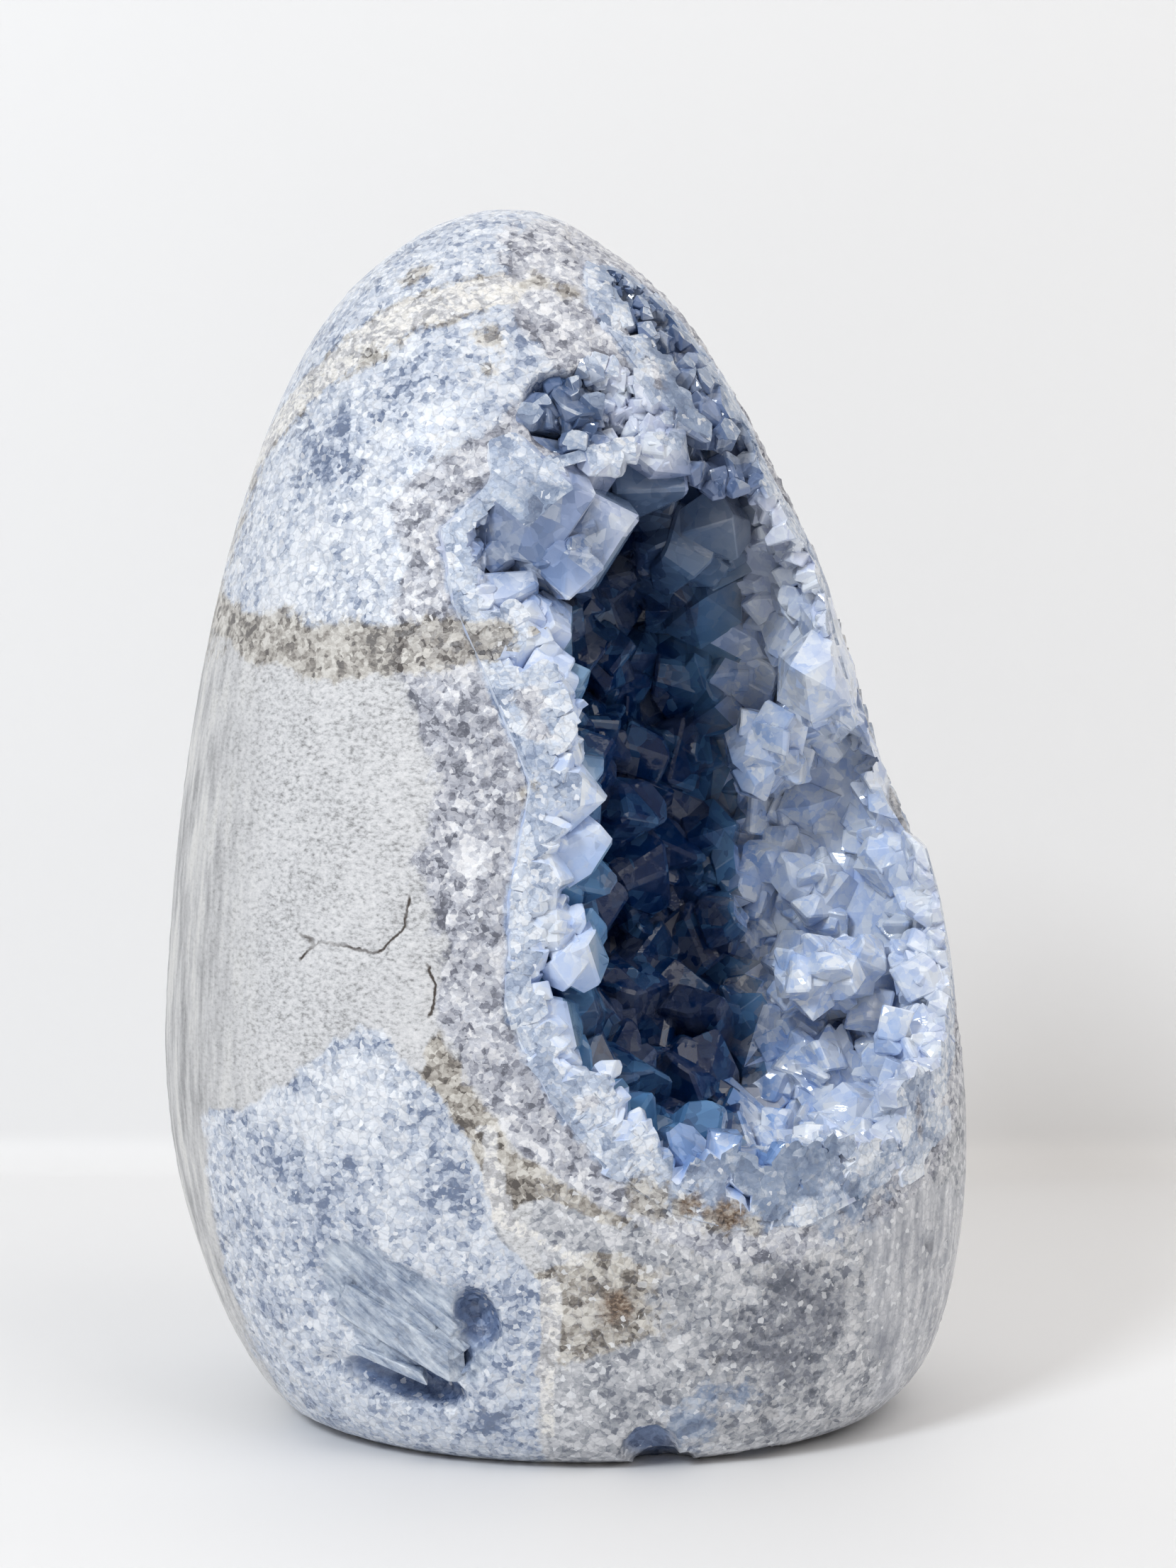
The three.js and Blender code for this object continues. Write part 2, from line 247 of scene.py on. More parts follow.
# The large crystals of the crust that stay free of small ones: place and radius, in millimetres.
BARE_CRYSTALS = (
    ((33, -13, 99), 6.5),
    ((-7, -26, 114), 5.5),
    ((0, -16, 110), 5.5),
    ((18, 2, 107), 6),
    ((9, 6, 101), 5),
    ((19, 7, 77), 5),
    ((18, 4, 54), 5),
    ((38, -15, 43), 5),
    ((4, -37, 46), 5),
    ((1, -37, 84), 4),
)
# Where more crystals grow than the crust's own: middle, half sizes, number, smallest and largest, in
# millimetres, and how white they are.
CLUSTERS = (
    ((12.6, -20.6, 133.5), (1.2, 1.4, 6), 30, 1.8, 3.2, 1.0),
    ((25, -35, 37.5), (7, 2.5, 2.5), 20, 4, 6, 0.16),
    ((25, -36, 41), (9, 3, 3), 18, 3.2, 6, 0.16),
    ((33, -32.5, 41.5), (7, 3, 3.5), 50, 2, 4.2, 1.0),
    ((18, -38.5, 37.5), (1.5, 1, 1.5), 5, 3, 5, 0.8),
    ((46, -22, 41), (5, 5, 5), 40, 2.6, 5, 0.8),
    ((38, -15, 88), (4, 6, 10), 60, 2, 3.6, 0.72),
    ((38, -20, 51), (5, 5, 4), 50, 2, 3.8, 0.5),
    ((26, -17, 122), (2.5, 2.5, 6), 30, 1.8, 3.2, 0.85),
)
# Crystals that stand out: the place of the root, the way it points and its size, in millimetres.
SINGLE_CRYSTALS = (
    ((-6, -25.5, 121.5), (0.35, -0.6, -0.7), 12),
    ((3, -23.5, 117), (0.3, -0.85, -0.4), 9.5),
    ((-4.5, -27, 112.5), (0.6, -0.75, -0.1), 6.5),
    ((1, -22.6, 133), (-0.05, -0.8, -0.25), 7.5),
    ((-2.6, -24.5, 130.5), (0.2, -0.8, 0.2), 5),
)

# The tones of each kind of stone, from its darkest grains to its palest: positions and screen values.
STONE_TONES = {
    "matrix": ((0.3, 132, 132, 134), (0.41, 180, 181, 184), (0.5, 207, 208, 211), (0.68, 228, 228, 230)),
    "streaked": ((0.36, 130, 130, 132), (0.5, 188, 188, 189), (0.62, 216, 215, 212)),
    "speckled": ((0.2, 80, 74, 70), (0.36, 132, 126, 119), (0.52, 172, 167, 160), (0.8, 214, 211, 205)),
    "blue": ((0.1, 104, 120, 150), (0.26, 154, 166, 189), (0.42, 190, 199, 215), (0.58, 209, 216, 228),
             (0.82, 234, 238, 245)),
    "rim": ((0.16, 96, 99, 112), (0.32, 144, 147, 160), (0.47, 180, 183, 194), (0.63, 203, 205, 213),
            (0.84, 240, 241, 245)),
    "grey": ((0.16, 108, 113, 126), (0.34, 154, 158, 166), (0.52, 184, 186, 192), (0.82, 218, 219, 223)),
    "dark": ((0.2, 74, 80, 94), (0.48, 116, 120, 132), (0.82, 166, 169, 176)),
    "cream": ((0.3, 176, 173, 168), (0.42, 222, 220, 216), (0.62, 246, 244, 241)),
    "rust": ((0.36, 54, 43, 37), (0.5, 116, 94, 76), (0.64, 172, 160, 146)),
    "columnar": ((0.34, 140, 144, 156), (0.48, 182, 185, 193), (0.64, 228, 229, 234)),
    "cut_crystal": ((0.22, 126, 142, 170), (0.38, 164, 178, 202), (0.54, 192, 203, 221),
                    (0.76, 232, 237, 245)),
    "clear": ((0.2, 78, 94, 124), (0.46, 112, 131, 161), (0.64, 140, 156, 182), (0.84, 194, 203, 217)),
    "feathers": ((0.34, 92, 110, 138), (0.44, 142, 157, 180), (0.55, 182, 193, 208), (0.68, 218, 226, 235)),
}
# The tones of the crystals, from the rim of the hollow to its depth, in the same way; the darker tones
# towards the depth are partly the crystals' own deeper blue and partly painted shade.
CRYSTAL_TONES = {
    "clear_crystal": ((0, 180, 210, 240), (0.3, 150, 194, 234), (0.6, 118, 176, 234), (1, 14, 56, 116)),
    "frosted_crystal": ((0, 198, 216, 250), (0.3, 178, 203, 245), (0.6, 150, 182, 233), (1, 98, 132, 184)),
    "violet": ((0, 206, 206, 220), (0.45, 154, 157, 180), (1, 44, 60, 90)),
}
# The screen values of each crystal's milky parts.
CRYSTAL_WHITES = {"clear_crystal": (220, 228, 240), "frosted_crystal": (238, 245, 255)}

# The heights between which the stone's outline is polished skin, in metres.
SKIN_HEIGHTS = (0.6 * MM, 159.6 * MM)
# How near the polished outline a corner of the crust is when the polish has cut it, in metres.
FLUSH_DEPTH = 0.25 * MM
# A face of the crust nearer the outline than this is its polished edge, in metres.
EDGE_DEPTH = 0.4 * MM
# A face of the crust nearer the stone than this is its back, in metres.
BACK_DISTANCE = 0.5 * MM
# Painted reflection: the way a face points when it is painted a warm grey as a glint, and the area in square
# metres above which it may.
PAINTED_GLINT_WAY = (0.25, -0.8, 0.55)
PAINTED_GLINT_AREA = 1.5 * MM**2

# Numbers that scramble whole numbers into evenly spread ones, the same on every run.
HASH_PRIMES = (73856093, 19349663, 83492791)
HASH_STEP = 1013904223
HASH_SPREAD = 1274126177


def deselect_all():
    """Leaves nothing selected, because an operator acts on all that is selected."""
    bpy.ops.object.select_all(action="DESELECT")


def activate(piece):
    """Makes a piece the only selected one and the active one."""
    deselect_all()
    piece.select_set(True)
    bpy.context.view_layer.objects.active = piece


def copied_node(node, name):
    """A copy of a CAD node as a new piece, with its loose triangles merged into one surface."""
    piece = bpy.data.objects.new(name, frame["nodes"][node].data.copy())
    piece.data.name = name
    piece.data.materials.clear()
    bpy.context.scene.collection.objects.link(piece)
    activate(piece)
    bpy.ops.object.mode_set(mode="EDIT")
    bpy.ops.mesh.select_all(action="SELECT")
    bpy.ops.mesh.remove_doubles(threshold=0.002 * MM)
    bpy.ops.object.mode_set(mode="OBJECT")
    return piece


def apply_modifier(piece, kind, **settings):
    """Adds a modifier with these settings to a piece and applies it."""
    activate(piece)
    bpy.ops.object.modifier_add(type=kind)
    modifier = piece.modifiers[-1]
    for key, value in settings.items():
        setattr(modifier, key, value)
    bpy.ops.object.modifier_apply(modifier=modifier.name)


def get_places(piece):
    """The places of a piece's vertices, one row each."""
    places = np.empty(len(piece.data.vertices) * 3, np.float32)
    piece.data.vertices.foreach_get("co", places)
    return places.reshape(-1, 3).astype(float)


def set_places(piece, places):
    """Moves a piece's vertices to these places."""
    piece.data.vertices.foreach_set("co", places.astype(np.float32).ravel())
    piece.data.update()


def store_shares(piece, shares):
    """Keeps named numbers for each vertex of a piece, for its material to read."""
    for name, values in shares.items():
        attribute = piece.data.attributes.new(name, "FLOAT", "POINT")
        attribute.data.foreach_set("value", values.astype(np.float32))


def combine(piece, operation, others):
    """Joins other closed meshes to a piece, or cuts them out of it, and deletes them."""
    group = bpy.data.collections.new("combined")
    bpy.context.scene.collection.children.link(group)
    for other in others:
        group.objects.link(other)
    apply_modifier(
        piece, "BOOLEAN", operation=operation, operand_type="COLLECTION", collection=group, solver="MANIFOLD"
    )
    for other in others:
        bpy.data.objects.remove(other)
    bpy.data.collections.remove(group)


def hashed(cells, seed):
    """Three numbers from 0 to 1 for each row of whole numbers, the same on every run."""
    whole = np.floor(cells).astype(np.int64)
    state = (whole * np.array(HASH_PRIMES)).sum(1) + seed * HASH_STEP
    numbers = []
    for turn in (15, 13, 16):
        state = ((state ^ (state >> turn)) * HASH_SPREAD) & 0x7FFFFFFF
        numbers.append((state >> 7 & 0xFFFF) / 0xFFFF)
    return np.stack(numbers, 1)


def cloud(places, size, seed):
    """Smooth noise from -1 to 1 with lumps of about this size."""
    scaled = places / size
    corner = np.floor(scaled)
    share = scaled - corner
    share = share * share * (3 - 2 * share)
    total = np.zeros(len(places))
    for step in np.ndindex(2, 2, 2):
        weight = np.where(step, share, 1 - share).prod(1)
        total += weight * hashed(corner + step, seed)[:, 0]
    return 2 * total - 1


def grains(places, size, seed):
    """For each place: the way from its grain's middle, how far the next grain is, and the grain's numbers."""
    scaled = places / size
    home = np.floor(scaled)
    nearest = np.full(len(places), np.inf)
    second = np.full(len(places), np.inf)
    offset = np.zeros_like(scaled)
    numbers = np.zeros_like(scaled)
    for step in np.ndindex(3, 3, 3):
        cell = home + np.array(step) - 1
        jitter = hashed(cell, seed)
        away = scaled - cell - jitter
        distance = np.linalg.norm(away, axis=1)
        closer = distance < nearest
        second = np.where(closer, nearest, np.minimum(second, distance))
        nearest = np.where(closer, distance, nearest)
        offset[closer] = away[closer]
        numbers[closer] = hashed(cell[closer], seed + 1)
    return offset, second - nearest, numbers


def rise(values, edge, softness):
    """0 below an edge and 1 above it, with a soft step between."""
    share = np.clip((values - edge) / softness + 0.5, 0, 1)
    return share * share * (3 - 2 * share)


def smooth_reaches():
    """Heights and the four reaches at them, in metres, along a smooth curve through the outline."""
    rows = np.array(OUTLINE, float) * MM
    rows = np.vstack((2 * rows[0] - rows[1], rows, 2 * rows[-1] - rows[-2]))
    t = np.linspace(0, 1, 40, endpoint=False)[:, None]
    spans = []
    for before, start, end, after in zip(rows, rows[1:], rows[2:], rows[3:]):
        leave, arrive = (end - before) / 2, (after - start) / 2
        bend = 2 * (start - end) + leave + arrive
        swing = 3 * (end - start) - 2 * leave - arrive
        spans.append(start + leave * t + swing * t**2 + bend * t**3)
    return np.vstack((*spans, rows[-2]))


REACHES = smooth_reaches()


def reaches_at(heights):
    """The outline's reach to the left, the right, the front and the back at each height."""
    return (np.interp(heights, REACHES[:, 0], REACHES[:, side]) for side in (1, 2, 3, 4))


def skin_level(places):
    """1 on the polished outline, less inside it and more outside."""
    left, right, front, back = reaches_at(places[:, 2])
    across = np.abs(places[:, 0] - (left + right) / 2) / ((right - left) / 2)
    deep = np.abs(places[:, 1] - (front + back) / 2) / ((back - front) / 2)
    return (across**SQUARENESS + deep**SQUARENESS) ** (1 / SQUARENESS)


def skin(places):
    """How deep each place is below the polished outline, and the way out there."""
    step = 0.1 * MM
    slope = np.empty_like(places)
    for axis in range(3):
        aside = np.zeros(3)
        aside[axis] = step
        slope[:, axis] = skin_level(places + aside) - skin_level(places - aside)
    slope /= 2 * step
    steepness = np.maximum(np.linalg.norm(slope, axis=1), 1e-6)
    return (1 - skin_level(places)) / steepness, slope / steepness[:, None]


def chips(places):
    """How deep the right edge of the outline is broken away at each place, in metres."""
    x, y, z = places.T / MM
    heights, amounts = zip(*BROKEN_EDGE)
    amount = np.interp(z + 1.5 * cloud(places, 4 * MM, 61), heights, amounts)
    broken = amount * rise(x, 29, 10) * (1 - rise(y, 8, 12))
    uneven = 1 + 0.35 * cloud(places, 5 * MM, 62) + 0.25 * cloud(places, 2.2 * MM, 63)
    return np.maximum(broken * uneven, 0) * MM


def distance_to_line(places, points):
    """How far each place is from a line through points given in millimetres."""
    nearest = np.full(len(places), np.inf)
    corners = np.array(points, float) * MM
    for start, end in zip(corners, corners[1:]):
        along = end - start
        share = np.clip((places - start) @ along / (along @ along), 0, 1)
        nearest = np.minimum(nearest, np.linalg.norm(places - start - share[:, None] * along, axis=1))
    return nearest


def nearest_on_node(node, places):
    """The point on the surface of a CAD node that is nearest to each place."""
    mesh = frame["nodes"][node].data
    tree = BVHTree.FromPolygons([v.co for v in mesh.vertices], [p.vertices for p in mesh.polygons])
    return np.array([tree.find_nearest(Vector(place))[0] for place in places])


def distance_to_node(node, places):
    """How far each place is from the surface of a CAD node."""
    return np.linalg.norm(nearest_on_node(node, places) - places, axis=1)


def distance_to_places(targets, places):
    """How far each place is from the nearest of the targets."""
    tree = KDTree(len(targets))
    for index, target in enumerate(targets):
        tree.insert(target, index)
    tree.balance()
    return np.array([tree.find(place)[2] for place in places])


def beside_cracks(places):
    """How far above or below the nearest crack's line each place is, and how far away, in millimetres."""
    nearest = np.full(len(places), 9.0)
    side = np.full(len(places), 9.0)
    for route in CRACKS:
        corners = np.array(route)
        for start, end in zip(corners, corners[1:]):
            away = distance_to_line(places, (start, end)) / MM
            along = (end - start) / np.linalg.norm(end - start)
            across = np.cross(along, (0.3, 0.95, 0))
            offset = (places / MM - start) @ (across / np.linalg.norm(across))
            closer = away < nearest
            nearest = np.where(closer, away, nearest)
            side = np.where(closer, offset, side)
    return side, nearest


def near_routes(places, routes, wander):
    """1 along each route and 0 beyond its half width, in a table of routes and half widths."""
    share = np.zeros(len(places))
    for route, half_width in routes:
        away = distance_to_line(places, route) / MM / np.maximum(half_width + wander, 0.2)
        share = np.maximum(share, 1 - rise(away, 1, 0.5))
    return share


def near_spots(places, spots, wander):
    """1 or its strength in the middle of each spot, fading with its radius, in a table of these."""
    share = np.zeros(len(places))
    for middle, radius, *strength in spots:
        away = np.linalg.norm(places / MM - np.array(middle), axis=1) / np.maximum(radius + wander, 0.5)
        share = np.maximum(share, np.exp(-(away**2)) * (strength or (1,))[0])
    return share


def pocket_holes(places):
    """How deep the holes round the blades are at each place, in millimetres."""
    return near_spots(places, POCKET_HOLES, 1.1 * cloud(places, 1.8 * MM, 72))


def fan_share(places):
    """1 where the blades lie in the pocket at the lower left, and 0 away from them."""
    offset = places / MM - np.array(FAN_MIDDLE)
    along = offset @ np.array(FAN_WAY)
    aside = np.linalg.norm(offset - along[:, None] * np.array(FAN_WAY), axis=1)
    return 1 - rise(np.hypot(along / 13, aside / 7.5) + 0.25 * cloud(places, 4 * MM, 71), 0.9, 0.5)


def stone_kinds(places, to_crystals):
    """How much of each kind of stone shows at each place, as shares from 0 to 1, and where the cracks are."""
    x, y, z = places.T / MM
    rim = to_crystals / MM
    wander = 3.5 * cloud(places, 11 * MM, 1) + 1.4 * cloud(places, 3.5 * MM, 2)
    wander += 0.7 * cloud(places, 1.4 * MM, 3)
    front = 1 - rise(y, 4, 22)

    # the pale matrix on the left, and the massive crystal above it
    matrix_right = np.interp(z, (40, 54, 63, 70, 110), (-2, -6, -9, -11, -11.5))
    matrix_top = np.interp(x, (-48, -40, -30, -12), (112, 107, 104.5, 105.5)) + 0.45 * wander
    upper = rise(z, matrix_top, 2.2)
    matrix = (1 - upper) * (1 - rise(x, matrix_right + 0.8 * wander, 2.5) * front)

    # the blue patch below the matrix, and blue veins at the back
    blue_right = np.interp(z, (4, 17, 25, 32, 43, 49, 54), (-3, -3, -3, -9, -11, -16, -21))
    blue_left = np.interp(z, (4, 7, 21, 45, 54), (-36, -38, -44, -46, -30))
    in_patch = rise(x, blue_left + 0.5 * wander, 3) * (1 - rise(x, blue_right + 0.7 * wander, 3))
    patch_top = np.interp(x, (-44, -34, -28, -20, -14, -10), (44, 49, 54, 55, 50, 44)) + 1.1 * wander
    patch = in_patch * (1 - rise(z, patch_top, 3)) * front
    veins = rise(cloud(places, 26 * MM, 4) + 0.35 * cloud(places, 8 * MM, 5), 0.42, 0.25) * (1 - front)
    blue = np.maximum.reduce((upper, patch, veins, near_spots(places, BLUE_ZONES, 0.5 * wander)))

    # the cream band near the top, and the brown specks beside it and along the matrix
    band_height = 144.9 + 0.36 * (x + 16) - 0.75 * (y + 20) + 0.4 * wander
    band_right = 1 - rise(x, -4 + wander, 7) * front
    cream = rise(z, band_height - 3.6, 1.8) * (1 - rise(z, band_height + 3.6, 1.8)) * band_right
    cream = np.maximum(cream, near_routes(places, CREAM_VEINS, 0.25 * wander) * front)
    speckle = 1.5 * np.exp(-(((z - matrix_top + 2.6) / 3) ** 2)) * (1 - rise(x, -6, 6) * front)
    beside_band = sum(np.exp(-(((z - band_height - side) / 1.2) ** 2)) for side in (-4, 4))
    speckle = np.maximum(speckle, 0.55 * beside_band * band_right)
    speckle = np.maximum(speckle, near_spots(places, BROWN_SPECKS, 0.5 * wander))
    left_edge = (1 - rise(x, -42 + 0.6 * wander, 5)) * rise(z, 100, 12) * (1 - rise(z, band_height, 3))
    speckle = np.maximum(speckle, 0.6 * left_edge)

    # the granular rim of the hollow, and the grey stone at the lower right
    rim_width = np.interp(z, (30, 50, 85, 100, 112, 128, 150), (6, 9, 13, 12, 5, 9, 16))
    granular = rise(1 - rim / (rim_width + 0.8 * wander), 0.25, 0.4)
    granular *= 1 - 0.8 * rise(x, 34, 8) * rise(z, 62, 20)
    light_band = np.exp(-(((x - 41 - 0.5 * wander) / 4) ** 2)) * (1 - rise(z, 32, 8)) * front
    speckled = near_routes(places, SPECKLED_BELTS, wander) * front * (1 - granular)
    grey = rise(x, 13 + wander, 9) * (1 - rise(z, 30 + wander, 8)) * rise(z, 3, 2)
    grey *= 1 - 0.6 * light_band
    grey = np.maximum(grey, 0.7 * rise(cloud(places, 18 * MM, 6), 0.35, 0.5) * (1 - front) * (1 - upper))
    columns = rise(x, 38.5 + wander, 4) * (1 - rise(z, 33 + wander, 5)) * front
    shares = {
        "matrix": matrix * (1 - patch),
        "blue": blue,
        "cream": cream,
        "speckle": speckle,
        "granular": granular,
        "speckled": speckled,
        "grey": grey * (1 - granular),
        "dark": near_spots(places, DARK_PATCHES, 0.5 * wander),
        "shade": near_spots(places, BLUE_SHADES, 0.5 * wander),
        "rust": near_spots(places, RUST_STAINS, 0.35 * wander),
        "columns": columns,
        "clear": near_spots(places, CLEAR_ZONES, 0.5 * wander),
        "pale": near_spots(places, PALE_ZONES, 0.5 * wander),
        "fan": fan_share(places),
    }
    shares = {name: np.clip(share, 0, 1) for name, share in shares.items()}
    shares["crack_side"], shares["crack_distance"] = beside_cracks(places)
    return shares


def facets(places, size, seed):
    """Heights of small leaning faces, about -1 to 1, the gaps between them and their random numbers."""
    offset, gap, numbers = grains(places, size, seed)
    lean = 2 * numbers - 1
    return (offset * lean).sum(1) * 1.4, gap, numbers


class Shader:
    """Adds nodes to a material's tree and joins them up."""

    def __init__(self, name):
        self.material = bpy.data.materials.new(name)
        self.material.use_nodes = True
        self.tree = self.material.node_tree
        self.tree.nodes.clear()
        self.output = self.tree.nodes.new("ShaderNodeOutputMaterial")
        self.surface = self.tree.nodes.new("ShaderNodeBsdfPrincipled")
        self.tree.links.new(self.surface.outputs["BSDF"], self.output.inputs["Surface"])
        self.place = self.tree.nodes.new("ShaderNodeTexCoord").outputs["Object"]

    def put(self, socket, value):
        """Sets a socket to a value, or joins it to another node's output."""
        if isinstance(value, bpy.types.NodeSocket):
            self.tree.links.new(value, socket)
        elif value is not None:
            socket.default_value = value

    def node(self, kind, inputs=None, **settings):
        """A new node, with settings on it and values or outputs in its inputs."""
        made = self.tree.nodes.new(kind)
        for key, value in settings.items():
            setattr(made, key, value)
        for key, value in (inputs or {}).items():
            self.put(made.inputs[key], value)
        return made

    def set(self, **values):
        """Sets the surface's own sockets; an underscore stands for a space."""
        for key, value in values.items():
            self.put(self.surface.inputs[key.replace("_", " ")], value)

    def share(self, name):
        """A number kept on the piece's vertices."""
        return self.node("ShaderNodeAttribute", attribute_name=name).outputs["Fac"]

    def stretched(self, scale, vector=None):
        """Coordinates, the object's own or others, scaled along X, Y and Z."""
        inputs = {"Vector": vector or self.place, "Scale": scale}
        return self.node("ShaderNodeMapping", inputs).outputs["Vector"]

    def noise(self, scale, detail=3.0, roughness=0.6, vector=None):
        """Noise from 0 to 1."""
        inputs = {"Vector": vector or self.place, "Scale": scale, "Detail": detail, "Roughness": roughness}
        return self.node("ShaderNodeTexNoise", inputs).outputs["Fac"]

    def cells(self, scale, vector=None, feature="F1", randomness=1.0):
        """A Voronoi texture's node."""
        inputs = {"Vector": vector or self.place, "Scale": scale, "Randomness": randomness}
        return self.node("ShaderNodeTexVoronoi", inputs, feature=feature)

    def ramp(self, value, stops):
        """A colour for a value, through stops of a position and screen values."""
        made = self.node("ShaderNodeValToRGB", {"Fac": value})
        elements = made.color_ramp.elements
        while len(elements) < len(stops):
            elements.new(0.5)
        for element, (position, *screen_values) in zip(elements, stops):
            element.position = position
            element.color = (*tone(*screen_values), 1)
        return made.outputs["Color"]

    def spread(self, value, low, high, to_low=0.0, to_high=1.0):
        """A value moved from one range to another, and kept in it."""
        inputs = {"Value": value, "From Min": low, "From Max": high, "To Min": to_low, "To Max": to_high}
        return self.node("ShaderNodeMapRange", inputs).outputs["Result"]

    def maths(self, operation, first, second=None):
        """A sum, product or the like of one or two values."""
        made = self.node("ShaderNodeMath", operation=operation)
        self.put(made.inputs[0], first)
        self.put(made.inputs[1], second)
        return made.outputs[0]

    def times(self, first, second):
        """The product of two values."""
        return self.maths("MULTIPLY", first, second)

    def channel(self, colour, name):
        """The red, green or blue of a colour."""
        return self.node("ShaderNodeSeparateColor", {"Color": colour}).outputs[name]

    def total(self, first, *others):
        """The sum of several values."""
        for other in others:
            first = self.maths("ADD", first, other)
        return first

    def mix(self, share, first, second, blend="MIX"):
        """Two colours mixed by a share."""
        made = self.node("ShaderNodeMix", data_type="RGBA", blend_type=blend)
        self.put(made.inputs["Factor"], share)
        for key, colour in (("A", first), ("B", second)):
            socket = [s for s in made.inputs if s.name == key and s.type == "RGBA"][0]
            self.put(socket, (*colour, 1) if isinstance(colour, tuple) else colour)
        return [s for s in made.outputs if s.type == "RGBA"][0]

    def vectors(self, operation, *values):
        """A sum, product or the like of up to three vectors; a number to scale by comes fourth."""
        made = self.node("ShaderNodeVectorMath", operation=operation)
        for socket, value in zip(made.inputs, values):
            self.put(socket, value)
        return made.outputs[0]

    def shaken(self, scale, amount):
        """Object coordinates, shaken by fine noise so that patterns on them have ragged borders."""
        inputs = {"Vector": self.place, "Scale": scale, "Detail": 2.0}
        noise = self.node("ShaderNodeTexNoise", inputs).outputs["Color"]
        return self.vectors("MULTIPLY_ADD", noise, (amount, amount, amount), self.place)

    def leaning(self, cell_colour, amount):
        """The surface's normal, leaning at random for each cell, as small crystal faces do."""
        lean = self.vectors("SUBTRACT", cell_colour, (0.5, 0.5, 0.5))
        lean = self.vectors("SCALE", lean, None, None, amount)
        normal = self.node("ShaderNodeNewGeometry").outputs["Normal"]
        return self.vectors("NORMALIZE", self.vectors("ADD", lean, normal))

    def bump(self, height, strength, distance, normal=None):
        """A bumpy normal from a height."""
        inputs = {"Height": height, "Strength": strength, "Distance": distance, "Normal": normal}
        return self.node("ShaderNodeBump", inputs).outputs["Normal"]


def tone(red, green, blue):
    """A colour given as screen values from 0 to 255, as the shader wants it."""
    shares = (red / 255, green / 255, blue / 255)
    return tuple(c / 12.92 if c <= 0.04045 else ((c + 0.055) / 1.055) ** 2.4 for c in shares)


